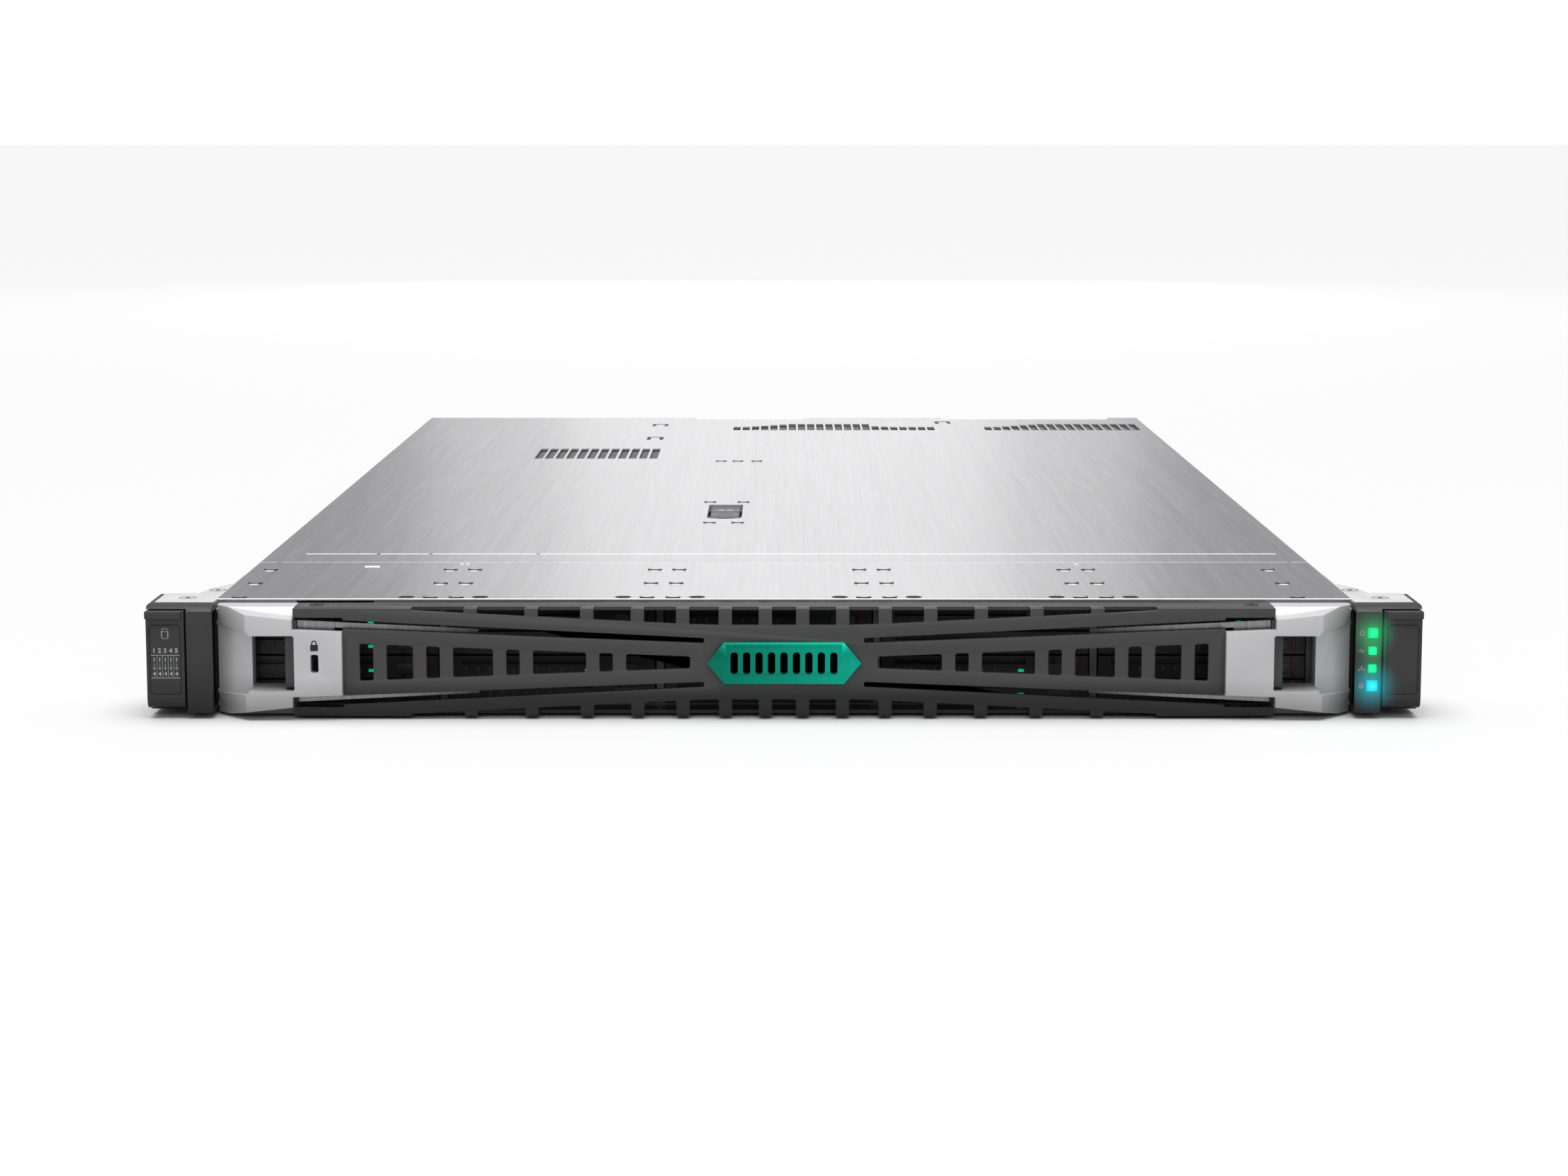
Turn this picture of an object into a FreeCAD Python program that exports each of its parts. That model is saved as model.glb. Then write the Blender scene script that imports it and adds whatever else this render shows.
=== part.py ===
import FreeCAD, Part
import math
import os

from FreeCAD import Vector

# One-unit rack server with a clip-on front bezel. Millimetres. X runs across the rack, Y from the
# front to the rear and Z up. The origin lies on the underside, at mid width, in the plane where the
# rack ears' flanges touch the rack posts.

# ---- chassis envelope ----------------------------------------------------------------------------
CHASSIS_WIDTH = 434.6
CHASSIS_HEIGHT = 42.9
CHASSIS_FRONT_Y = -14.5
REAR_WALL_Y = 752.6
SHEET = 1.0                 # sheet metal of tub, covers and cages
FIT = 0.2                   # clearance between sheet parts that slide on or drop into each other
TOUCH = 0.1                 # clearance between moulded parts of one assembly

# ---- top covers ----------------------------------------------------------------------------------
SEAM_Y = 90.2               # joint between the fixed front cover and the access panel
SEAM_GAP = 0.5
FLANGE_DROP = 3.4           # bent-down side edges of the covers
FRONT_LIP_DROP = 2.4
FRONT_BEND_RADIUS = 0.6
PANEL_BEND_RADIUS = 0.9
LIP_SLOT_X = (-187.0, -157.4)           # pull-tag slot in the front lip
LIP_SLOT_TOP = 0.5                      # its drop from the top
LANCE_X, LANCE_Y, LANCE_WIDTH = (-172.0, -166.0), 75.0, 0.7    # small raised tongue, sloping up to the rear
LANCE_RISE = 0.4
PILOT_DOTS, PILOT_DOT_RADIUS = ((-133.0, 83.5), (-130.6, 83.5), (120.7, 83.5)), 0.7
FRONT_LEDGE_GAP = 0.5       # between the chassis's front ledges and the bezel's rear edge
PANEL_TRAVEL = 12.0         # how far the access panel slides back before it lifts off
STEP_GROOVE_Y = 116.6       # pressed line across the access panel
STEP_GROOVE_WIDTH = 0.8
STEP_GROOVE_DEPTH = 0.4
STEP_GROOVE_VALLEY = 0.3    # from the groove's front edge to its lowest line
STEP_GROOVE_INSETS = (15.1, 9.2)     # from the panel's left and right edges to the groove's ends
STEP_GROOVE_BREAKS, STEP_GROOVE_BREAK = (-171.5, -149.4, -104.0), 1.4
REAR_TAB_DEPTH = 10.8       # how far the access panel's tabs reach past its notched edge
LEFT_NOTCH_X = (-54.1, 12.4)
RIGHT_NOTCH_WIDTH, CORNER_TAB_WIDTH = 102.5, 17.9
CLINCH_RADIUS = 2.8
CLINCH_TOP_RADIUS = 2.3
CLINCH_HEIGHT = 0.45
CLINCH_ROWS_Y = (-11.0, 28.5, 68.1)
CLINCH_PAIR = 10.0          # spacing of the two clinch marks over each drive divider
COVER_HOLE_RADIUS = 3.2
COVER_HOLE_OFFSET = 14.2    # from a divider's centre to the round holes beside it

# Vent slots in the access panel: first slot's left edge, near edge, pitch, and one length a slot
VENT_SLOT_WIDTH = 4.3
SIDE_VENT_X, SIDE_VENT_Y, SIDE_VENT_PITCH, SIDE_VENT_COUNT = -135.5, 515.1, 5.67, 12
SIDE_VENT_LENGTH = 54.0
REAR_VENT_Y, REAR_VENT_PITCH = 681.4, 5.49
REAR_VENT_SHORT, REAR_VENT_LONG = 20.5, 40.0
CENTRE_VENT_X, CENTRE_VENT_COUNT = -30.1, 22
CORNER_VENT_X, CORNER_VENT_COUNT = 119.3, 17
VENT_RAMP_START, VENT_RAMP_SLOTS = 2, 5
CENTRE_VENT_LAST_LONG = 14
PANEL_TAB_CUTS = ((-79.0, 704.0), (-79.0, 622.0), (91.4, 722.0))     # left and near edge of each
PANEL_TAB_CUT_SIZE = (9.4, 17.0)
PANEL_TAB_TONGUE = (5.0, 13.0)
PANEL_CLINCHES = ((-33.8, 502.3), (-24.8, 502.3), (-14.7, 502.3), (-35.4, 309.5), (-19.5, 309.5),
                  (-34.0, 227.2), (-21.2, 227.2))

# ---- access panel latch --------------------------------------------------------------------------
LATCH_POCKET_X = (-35.6, -19.5)
LATCH_POCKET_Y = (246.5, 297.4)
LATCH_POCKET_BULGE = 5.0    # how far the pocket's front edge bows out in the middle
LATCH_GROOVES_Y = (270.6, 286.4)        # parting lines across the lever
LATCH_GROOVE = 0.7                      # their width and depth
LATCH_POCKET_DEPTH = 5.3
LATCH_WALL = 1.2
LATCH_SIDE_GAP = 1.4
LATCH_THICKNESS = 3.2
LATCH_SINK = 0.6            # how far the lever's top lies below the cover's top
LATCH_PIN_RADIUS = 1.5
LATCH_BARREL_RADIUS = 2.5
LATCH_PIN_INSET = 5.8       # pin centre in from the pocket's rear end
LATCH_FINGER_GAP = 3.6
PIN_CLEARANCE = 0.06

# ---- drive bay -----------------------------------------------------------------------------------
BAY_COUNT = 5
ROW_COUNT = 4
BAY_PITCH = 83.4
FIRST_DIVIDER_X = -131.1
DIVIDER_THICKNESS = 2.8
CAGE_FRONT_Y = -12.0
CAGE_REAR_Y = 108.0
ROW_PITCH = 9.4
FIRST_ROW_Z = 6.6           # centre height of the lowest row
DRIVE_WIDTH = 76.0
DRIVE_HEIGHT = 7.5
DRIVE_REAR_Y = 112.0
DRIVE_FACE_Y = -13.0
DRIVE_FACE_WIDTH = 79.4
DRIVE_FACE_HEIGHT = 8.6
DRIVE_FACE_DEPTH = 11.0
DRIVE_LATCH_WIDTH = 14.0
DRIVE_LATCH_DEPTH = 1.2
GUIDE_REACH = 3.2           # ledge under each drive's edge
GUIDE_THICKNESS = 1.0
DRIVE_FLOAT = 0.3           # clearance between a drive and its ledges
BACKPLANE_THICKNESS = 1.6
CONNECTOR_WIDTH = 44.0
CONNECTOR_HEIGHT = 5.0
CONNECTOR_LENGTH = 5.0
BACKPLANE_VENT = 26.0

# ---- fans ----------------------------------------------------------------------------------------
FAN_COUNT = 7
FAN_PITCH = 58.6
FAN_FRONT_Y = 150.0
FAN_LENGTH = 56.0
FAN_WIDTH = 46.0
FAN_HEIGHT = 38.6
FAN_BORE_RADIUS = 17.9
ROTOR_TIP_GAP = 0.7
ROTOR_HUB_RADIUS = 8.5
ROTOR_LENGTH = 24.0
ROTOR_SET_BACK = 5.0
STATOR_GAP = 0.5
STATOR_ARM_WIDTH = 2.4
STATOR_ARM_DEPTH = 4.0
BLADE_COUNT = 7
BLADE_THICKNESS = 1.1
BLADE_CHORD = 17.0
BLADE_ROOT_ANGLE = 52.0
BLADE_TIP_ANGLE = 30.0
SPINDLE_RADIUS = 1.5

# ---- system board --------------------------------------------------------------------------------
BOARD_FRONT_Y = 214.0
BOARD_REAR_Y = 748.0
BOARD_UNDER_Z = 6.0
BOARD_THICKNESS = 1.8
BOARD_EDGE_GAP = 3.0
STANDOFF_RADIUS = 3.0
DIMM_LENGTH = 133.4
DIMM_SOCKET_LENGTH = 142.0
DIMM_SOCKET_WIDTH = 5.6
DIMM_SOCKET_HEIGHT = 5.0
DIMM_HEIGHT = 25.5
DIMM_THICKNESS = 1.4
DIMM_CHIP_THICKNESS = 1.1
DIMM_PITCH = 7.1
DIMM_CENTRE_Y = 385.0
OUTER_BANK, INNER_BANK = 8, 16
PROCESSOR_X = 104.0
SINK_WIDTH = 84.0
SINK_LENGTH = 112.0
SOCKET_HEIGHT = 4.6
SINK_BASE = 3.5
SINK_TOP_Z = 38.0
FIN_THICKNESS = 0.6
FIN_COUNT = 28
CONTROLLER_BEHIND_MEMORY = 135.0
CONTROLLER_SIZE, CONTROLLER_HEIGHT = 40.0, 9.0

# ---- rear ----------------------------------------------------------------------------------------
PSU_WIDTH = 72.8
PSU_HEIGHT = 37.0
PSU_LENGTH = 185.0
PSU_PITCH = 74.2
PSU_SIDE_GAP = 0.4
PSU_REAR_Y = 761.0
PSU_FAN_RADIUS = 15.0
PSU_GRILLE_RING = 1.2
INLET_WIDTH, INLET_HEIGHT, INLET_DEPTH, INLET_WALL = 27.0, 19.6, 16.0, 1.6
HANDLE_REACH = 21.0
HANDLE_WIDTH = 4.2
HANDLE_HEIGHT = 27.0
HANDLE_BAR = 4.0
PSU_LATCH_WIDTH, PSU_LATCH_REACH = 9.0, 13.0
SLOT_HEIGHT = 17.6
SLOT_UNDER_Z = 23.2
SLOT_EDGES_X = ((15.6, 94.0), (100.0, 197.0))
RISER_LENGTH = 180.0
ADAPTER_X = (120.0, 196.0)
ADAPTER_UNDER_Z, ADAPTER_HEIGHT, ADAPTER_LENGTH = 8.0, 12.6, 115.0
PORT_CAGE_WIDTH, PORT_CAGE_HEIGHT, PORT_CAGE_WALL = 15.0, 9.6, 0.8
PORT_CAGE_LENGTH = 48.0
PORT_CAGE_DEPTH = 30.0
PORT_ZONE_X = (-50.0, 10.0)
PORT_SHELL_WALL = 0.8
NETWORK_PORT = (16.0, 13.0)
USB_PORT = (14.6, 7.4)
PORT_PROUD = 1.0
PORT_LENGTH = 20.0
WALL_VENT_HOLE, WALL_VENT_PITCH = 4.2, 6.0

# ---- front service sockets -----------------------------------------------------------------------
SERVICE_SOCKET_WIDTH, SERVICE_SOCKET_HEIGHT, SERVICE_SOCKET_WALL = 6.8, 14.4, 0.8

# ---- rail studs ----------------------------------------------------------------------------------
STUD_YS = (36.0, 268.0, 500.0, 712.0)
STUD_Z = 21.5
STUD_RADIUS, STUD_LENGTH = 3.0, 3.0
STUD_HEAD_RADIUS, STUD_HEAD = 4.8, 1.4

# ---- rack ears -----------------------------------------------------------------------------------
EAR_REACH = 24.0            # how far each ear stands out from the chassis side
EAR_FLANGE = 2.0
EAR_FACE_Y = -36.0
EAR_BOTTOM_Z = 2.1
EAR_LAP = 1.1               # how far the ear's strip reaches in front of the chassis
EAR_PLATE_FRONT_Y = -24.0
EAR_RIM = 1.5               # moulded rim outside the bracket's top plate
EAR_TAIL_Y = 25.0
EAR_TAIL_WIDTH = 7.6
EAR_SIDE_PLATE = 1.8
EAR_SIDE_REAR_Y = 58.0
STRIP_WIDTH = 9.7           # moulded strip between the chassis and the flip-down lever
EAR_WALL = 1.6
STRIP_RELIEF = 2.4          # depth of the shadow gap in the strip's inner side
STRIP_RELIEF_Y = (-34.0, -16.0)
STRIP_RELIEF_Z = (3.4, 40.4)
BROW_CHAMFER_DEPTH = 4.5
BROW_CHAMFER_DROP = 1.9
RACK_HOLE_INSET = 8.75      # rack hole in from the ear's outer edge
RACK_HOLE_Z = 22.2
RACK_HOLE_RADIUS = 3.5
SCREW_ACCESS_RADIUS = 5.0
EAR_SCREWS = ((11.8, -12.3), (3.7, 8.5))               # out from the chassis side, and Y
SIDE_SCREWS = ((12.0, 12.0), (44.0, 31.0))
SCREW_HEAD_RADIUS = 3.3
SCREW_HEAD = 0.7
SCREW_RECESS_RADIUS = 1.1

LEVER_GAP = 0.8             # between the lever and the strip
LEVER_BOTTOM_Z = 3.6
LEVER_TOP_Z = 41.2
LEVER_BACK_Y = -27.0
LEVER_WALL = 1.8
LEVER_POCKET_GAP = 0.5
LEVER_PIN_Y, LEVER_PIN_Z, LEVER_PIN_RADIUS = -31.2, 6.6, 1.2
LEVER_PIN_GRIP = 1.6        # pin length held in the strip
PULL_TAB_HEIGHT = 2.8
PULL_TAB_PROUD = 2.4
PANEL_WIDTH, PANEL_HEIGHT, PANEL_CENTRE_Z = 12.2, 27.3, 22.5
PANEL_GROOVE_WIDTH, PANEL_GROOVE_DEPTH, PANEL_CORNER = 0.5, 0.4, 2.0

BUTTON_INSET = 3.3          # buttons' centre in from the strip's outer edge
POWER_BUTTON_SIZE, POWER_BUTTON_Z = 3.8, 32.7
UID_BUTTON_SIZE, UID_BUTTON_Z = 4.1, 12.5
LENS_SIZE = 3.1
LENS_ZS = (25.9, 19.1)
BUTTON_CLEARANCE = 0.2
BUTTON_PROUD = 0.3
BUTTON_LENGTH = 5.0
BUTTON_TRAVEL = 1.0
LENS_PROUD = 0.1

# ---- bezel ---------------------------------------------------------------------------------------
BEZEL_FACE_Y = -36.5
BEZEL_BACK_Y = -20.3
BEZEL_TOP_Z = 42.1
BEZEL_HEIGHT = 41.0
BEZEL_WALL = 1.3
BEZEL_SKIN = 2.2            # thickness of the front face
RAIL_END_INSET = 31.9       # rails' ends in from the chassis sides
TONGUE_LENGTH = 18.8        # how far the grips' tongues reach in from the rails' ends
SLIT_START_X = 30.2
RAIL_HALF, RAIL_SLOPE = 9.35, 0.0500     # rails' inner edges: half height at the slit's start, and rise
BAND_HALF, BAND_SLOPE = 7.4, 0.0390
SLIT_CORNER = 0.7
RAIL_RIB = 4.8
BAND_RIB = 5.3
BAR_WIDTH = 5.0
RAIL_WINDOWS = (9.1, 10.1, 11.1, 12.1, 14.1, 16.0, 18.0, 20.0)
BAND_WINDOWS_START = 35.5
BAND_WINDOWS = (24.2, 5.1, 20.1, 5.1, 15.1, 5.1, 10.0, 5.2)
NOTCH_BACK_Y = -30.5
NOTCH_CORNER = 0.6
WINDOW_CORNER = 0.9
END_PLATE_WIDTH = 4.2
END_PLATE_THICKNESS = 3.0
END_PLATE_INSET = 4.6       # end plates and their room stop this far inside the bezel's top and bottom
BEZEL_SCREW_INSET, BEZEL_SCREW_Y, BEZEL_SCREW_RADIUS = 7.6, -25.2, 2.6
STRIP_PLATE_REACH = 69.8    # how far the strip plates reach in from the rails' ends
STRIP_PLATE_THICKNESS = 1.0
STRIP_PLATE_GAP = 1.4       # between the plates' edges and the rails' inner edges
STRIP_PLATE_LEG = 14.0

BADGE_WIDTH, BADGE_HEIGHT = 58.2, 15.9
BADGE_POINT = 6.5
BADGE_PROUD = 2.0
BADGE_SLOTS, BADGE_SLOT_WIDTH, BADGE_SLOT_HEIGHT, BADGE_SLOT_PITCH = 9, 2.8, 8.4, 4.7
BADGE_OPENING_MARGIN = 1.6

GRIP_FACE_Y = -40.0
GRIP_EAR_GAP = 0.6
GRIP_SIDE_Y = -25.5         # where the slanted outer face starts
GRIP_CORNER_INSET = 12.6    # front corner in from the outer side
GRIP_TONGUE_HALF, GRIP_TONGUE_SLOPE = 12.0, 0.04
GRIP_BROW_Y, GRIP_BROW_INSET = -31.2, 5.0      # where the flat top ends, and where its facets start
GRIP_BROW_SLOPE = 1.64                                   # of the steep facet next to the flat top, Z over Y
GRIP_FACET_SLOPE_X, GRIP_FACET_SLOPE_Y = 0.1086, 0.1226  # of the shallow facet in front, Z over X and over Y
GRIP_BAR_HALF = 11.8        # recess between the two bars, half height at the face
GRIP_RECESS_DRAFT = 1.5
GRIP_POST_INSET = 13.6
GRIP_POST_RIDGE_INSET, GRIP_POST_RIDGE_Y = 6.2, -27.6
GRIP_POST_INNER_Y = -28.4
GRIP_WINDOW_LAP = 0.7       # how far the finger window reaches in past the rails' ends
GRIP_WINDOW_HALF = 10.6
LOCK_SLOT_INSET, LOCK_SLOT_WIDTH, LOCK_SLOT_HEIGHT = 8.4, 3.0, 7.0
DETENT_RADIUS, DETENT_Y = 1.1, -23.2
DETENT_OFFSETS = (13.2, 18.0)

# ---- derived -------------------------------------------------------------------------------------
HALF_WIDTH = CHASSIS_WIDTH / 2
EAR_HALF = HALF_WIDTH + EAR_REACH
RACK_HOLE_X = EAR_HALF - RACK_HOLE_INSET
COVER_UNDER_Z = CHASSIS_HEIGHT - SHEET
WALL_TOP_Z = COVER_UNDER_Z - FIT
INNER_HALF = HALF_WIDTH - SHEET
BEZEL_MID_Z = BEZEL_TOP_Z - BEZEL_HEIGHT / 2
EAR_INNER_X = HALF_WIDTH - EAR_LAP
STRIP_OUTER_X = EAR_INNER_X + STRIP_WIDTH
LEVER_INNER_X = STRIP_OUTER_X + LEVER_GAP
EAR_SCREW_PLACES = [(HALF_WIDTH + out, y) for out, y in EAR_SCREWS]
BUTTON_X = STRIP_OUTER_X - BUTTON_INSET
RAIL_END_X = HALF_WIDTH - RAIL_END_INSET
BAND_END_X = RAIL_END_X - TONGUE_LENGTH
BEZEL_SCREW_X = RAIL_END_X - BEZEL_SCREW_INSET
LOCK_SLOT_X = RAIL_END_X - LOCK_SLOT_INSET
GRIP_OUTER_X = EAR_INNER_X - GRIP_EAR_GAP
GRIP_POST_X = GRIP_OUTER_X - GRIP_POST_INSET
BOARD_TOP_Z = BOARD_UNDER_Z + BOARD_THICKNESS
PANEL_FRONT_Y = SEAM_Y + SEAM_GAP
PANEL_REAR_Y = REAR_WALL_Y + REAR_TAB_DEPTH
LEDGE_FRONT_Y = BEZEL_BACK_Y + FRONT_LEDGE_GAP
LEDGE_HALF = INNER_HALF - TOUCH
FLANGE_BOTTOM_Z = COVER_UNDER_Z - FLANGE_DROP
CAGE_LEFT_X = FIRST_DIVIDER_X - BAY_PITCH
DIVIDER_XS = [FIRST_DIVIDER_X + i * BAY_PITCH for i in range(BAY_COUNT)]
PSU_UNDER_Z = SHEET + FIT
PSU_CENTRES = [-INNER_HALF + PSU_SIDE_GAP + PSU_WIDTH / 2 + i * PSU_PITCH for i in range(2)]
PSU_WALL_X = PSU_CENTRES[-1] + PSU_WIDTH / 2 + PSU_SIDE_GAP
SIDES = {"left": -1, "right": 1}


# ---- helpers -------------------------------------------------------------------------------------
def box(x, y, z):
    """Block between the two limits given for each axis, in either order."""
    low = [min(pair) for pair in (x, y, z)]
    size = [abs(pair[1] - pair[0]) for pair in (x, y, z)]
    return Part.makeBox(*size, Vector(*low))


def face_of(corners, radius=0.0):
    """Flat face with these corners, each rounded by an arc where a radius is given."""
    edges, ends = [], []
    count = len(corners)
    for i, corner in enumerate(corners):
        if radius <= 0:
            ends.append((corner, corner))
            continue
        before, after = corners[i - 1], corners[(i + 1) % count]
        back, ahead = (before - corner).normalize(), (after - corner).normalize()
        half_turn = back.getAngle(ahead) / 2
        reach = radius / math.tan(half_turn)
        start, end = corner + back * reach, corner + ahead * reach
        centre = corner + (back + ahead).normalize() * (radius / math.sin(half_turn))
        middle = centre + (corner - centre).normalize() * radius
        edges.append(Part.Arc(start, middle, end).toShape())
        ends.append((start, end))
    lines = [Part.LineSegment(ends[i][1], ends[(i + 1) % count][0]).toShape() for i in range(count)]
    return Part.Face(Part.Wire(Part.__sortEdges__(edges + lines)))


def prism_xz(points, y, radius=0.0):
    """Outline in X and Z, extruded along Y between the two limits."""
    corners = [Vector(px, min(y), pz) for px, pz in points]
    return face_of(corners, radius).extrude(Vector(0, abs(y[1] - y[0]), 0))


def prism_xy(points, z, radius=0.0):
    """Outline in X and Y, extruded along Z between the two limits."""
    corners = [Vector(px, py, min(z)) for px, py in points]
    return face_of(corners, radius).extrude(Vector(0, 0, abs(z[1] - z[0])))


def prism_yz(points, x):
    """Outline in Y and Z, extruded along X between the two limits."""
    corners = [Vector(min(x), py, pz) for py, pz in points]
    return face_of(corners).extrude(Vector(abs(x[1] - x[0]), 0, 0))


def rod(axis, centre, radius, limits):
    """Cylinder along the named axis; centre gives the other two coordinates in X, Y, Z order."""
    start, length = min(limits), abs(limits[1] - limits[0])
    if axis == "x":
        return Part.makeCylinder(radius, length, Vector(start, *centre), Vector(1, 0, 0))
    if axis == "y":
        return Part.makeCylinder(radius, length, Vector(centre[0], start, centre[1]), Vector(0, 1, 0))
    return Part.makeCylinder(radius, length, Vector(*centre, start), Vector(0, 0, 1))


def fused(shapes):
    """One solid from overlapping or touching shapes, with coplanar faces joined."""
    first, *rest = shapes
    return (first.multiFuse(rest) if rest else first).removeSplitter()


def without(shape, tools):
    """The shape with every tool cut away."""
    return shape.cut(tools) if tools else shape


def group(shapes):
    """Separate solids kept together in one node."""
    return Part.makeCompound(shapes)


def sided(side, shape):
    """A shape modelled at positive X, turned over to the left when side is -1."""
    return shape if side > 0 else shape.mirror(Vector(0, 0, 0), Vector(1, 0, 0))


def run(start, widths, gap, limit):
    """Left and right edge of each of these widths, laid out from start with a gap between, up to a limit."""
    spans, edge = [], start
    for width in widths:
        spans.append((edge, edge + width))
        edge += width + gap
    return [span for span in spans if span[1] + gap <= limit]


def centred_rect(x, z, width, height):
    """Corners of a rectangle about a centre."""
    return [(x - width / 2, z - height / 2), (x + width / 2, z - height / 2),
            (x + width / 2, z + height / 2), (x - width / 2, z + height / 2)]


# ---- chassis -------------------------------------------------------------------------------------
def wall_vents(x, z):
    """Grid of square vent holes through the rear wall, centred in the two ranges."""
    columns = int((x[1] - x[0]) // WALL_VENT_PITCH)
    rows = int((z[1] - z[0]) // WALL_VENT_PITCH)
    left = (x[0] + x[1] - (columns - 1) * WALL_VENT_PITCH) / 2
    low = (z[0] + z[1] - (rows - 1) * WALL_VENT_PITCH) / 2
    return [prism_xz(centred_rect(left + c * WALL_VENT_PITCH, low + r * WALL_VENT_PITCH,
                                  WALL_VENT_HOLE, WALL_VENT_HOLE),
                     (REAR_WALL_Y - 2 * SHEET, REAR_WALL_Y + SHEET))
            for c in range(columns) for r in range(rows)]


def rear_opening(x, z):
    """Rectangular cut through the rear wall."""
    return box(x, (REAR_WALL_Y - 2 * SHEET, REAR_WALL_Y + SHEET), z)


def port_places():
    """Centre, width and height of each rear port, standing on the board from left to right."""
    gap = (PORT_ZONE_X[1] - PORT_ZONE_X[0] - NETWORK_PORT[0] - 2 * USB_PORT[0]) / 4
    places, edge = [], PORT_ZONE_X[0] + gap
    for width, height in (USB_PORT, USB_PORT, NETWORK_PORT):
        places.append((edge + width / 2, BOARD_TOP_Z + height / 2, width, height))
        edge += width + gap
    return places


def chassis_tub():
    """Bent-up tub: floor, side walls, rear wall with its openings, and the power supplies' partition."""
    bay_rear = PANEL_REAR_Y
    walls = [
        box((-HALF_WIDTH, HALF_WIDTH), (CHASSIS_FRONT_Y, REAR_WALL_Y), (0, SHEET)),
        box((-LEDGE_HALF, LEDGE_HALF), (LEDGE_FRONT_Y, CHASSIS_FRONT_Y), (0, SHEET)),
        box((-HALF_WIDTH, PSU_WALL_X + SHEET), (REAR_WALL_Y, bay_rear), (0, SHEET)),
        box((-HALF_WIDTH, -INNER_HALF), (CHASSIS_FRONT_Y, bay_rear), (0, WALL_TOP_Z)),
        box((INNER_HALF, HALF_WIDTH), (CHASSIS_FRONT_Y, REAR_WALL_Y), (0, WALL_TOP_Z)),
        box((PSU_WALL_X, INNER_HALF), (REAR_WALL_Y - SHEET, REAR_WALL_Y), (0, WALL_TOP_Z)),
        box((PSU_WALL_X, PSU_WALL_X + SHEET), (PSU_REAR_Y - PSU_LENGTH, bay_rear),
            (0, WALL_TOP_Z - FLANGE_DROP)),
    ]
    cuts = [rear_opening(edges, (SLOT_UNDER_Z, SLOT_UNDER_Z + SLOT_HEIGHT)) for edges in SLOT_EDGES_X]
    cuts.append(rear_opening(ADAPTER_X, (ADAPTER_UNDER_Z - TOUCH, ADAPTER_UNDER_Z + ADAPTER_HEIGHT)))
    for x, z, width, height in port_places():
        cuts.append(prism_xz(centred_rect(x, z, width + 2 * TOUCH, height + 2 * TOUCH),
                             (REAR_WALL_Y - 2 * SHEET, REAR_WALL_Y + SHEET)))
    cuts += wall_vents(PORT_ZONE_X, (SLOT_UNDER_Z, SLOT_UNDER_Z + SLOT_HEIGHT))
    cuts += wall_vents((SLOT_EDGES_X[0][0], SLOT_EDGES_X[0][1]), (BOARD_TOP_Z, SLOT_UNDER_Z - SHEET))
    for side in SIDES.values():
        for y in STUD_YS:
            cuts.append(rod("x", (y, STUD_Z), STUD_RADIUS,
                            (side * (INNER_HALF - SHEET), side * (HALF_WIDTH + SHEET))))
    return without(fused(walls), cuts)


def rail_studs():
    """Shouldered studs riveted through both side walls, which hang the chassis in its slide rails."""
    studs = []
    for side in SIDES.values():
        for y in STUD_YS:
            shank = rod("x", (y, STUD_Z), STUD_RADIUS, (INNER_HALF, HALF_WIDTH + STUD_LENGTH))
            head_start = HALF_WIDTH + STUD_LENGTH
            head = rod("x", (y, STUD_Z), STUD_HEAD_RADIUS, (head_start, head_start + STUD_HEAD))
            studs.append(sided(side, fused([shank, head])))
    return group(studs)


# ---- top covers ----------------------------------------------------------------------------------
def clinch(x, y):
    """Low round button that a press joint raises on a cover's top face."""
    return Part.makeCone(CLINCH_RADIUS, CLINCH_TOP_RADIUS, CLINCH_HEIGHT, Vector(x, y, CHASSIS_HEIGHT))


def cover_flanges(y):
    """Bent-down edges of a cover, just inside the tub's side walls."""
    outer = INNER_HALF - TOUCH
    return [box((side * outer, side * (outer - SHEET)), y, (FLANGE_BOTTOM_Z, CHASSIS_HEIGHT))
            for side in SIDES.values()]


def front_bend(front, radius):
    """Cut that rounds a cover's top along its front edge."""
    corner = box((-HALF_WIDTH, HALF_WIDTH), (front, front + radius),
                 (CHASSIS_HEIGHT - radius, CHASSIS_HEIGHT))
    return corner.cut(rod("x", (front + radius, CHASSIS_HEIGHT - radius), radius,
                          (-HALF_WIDTH, HALF_WIDTH)))


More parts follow.
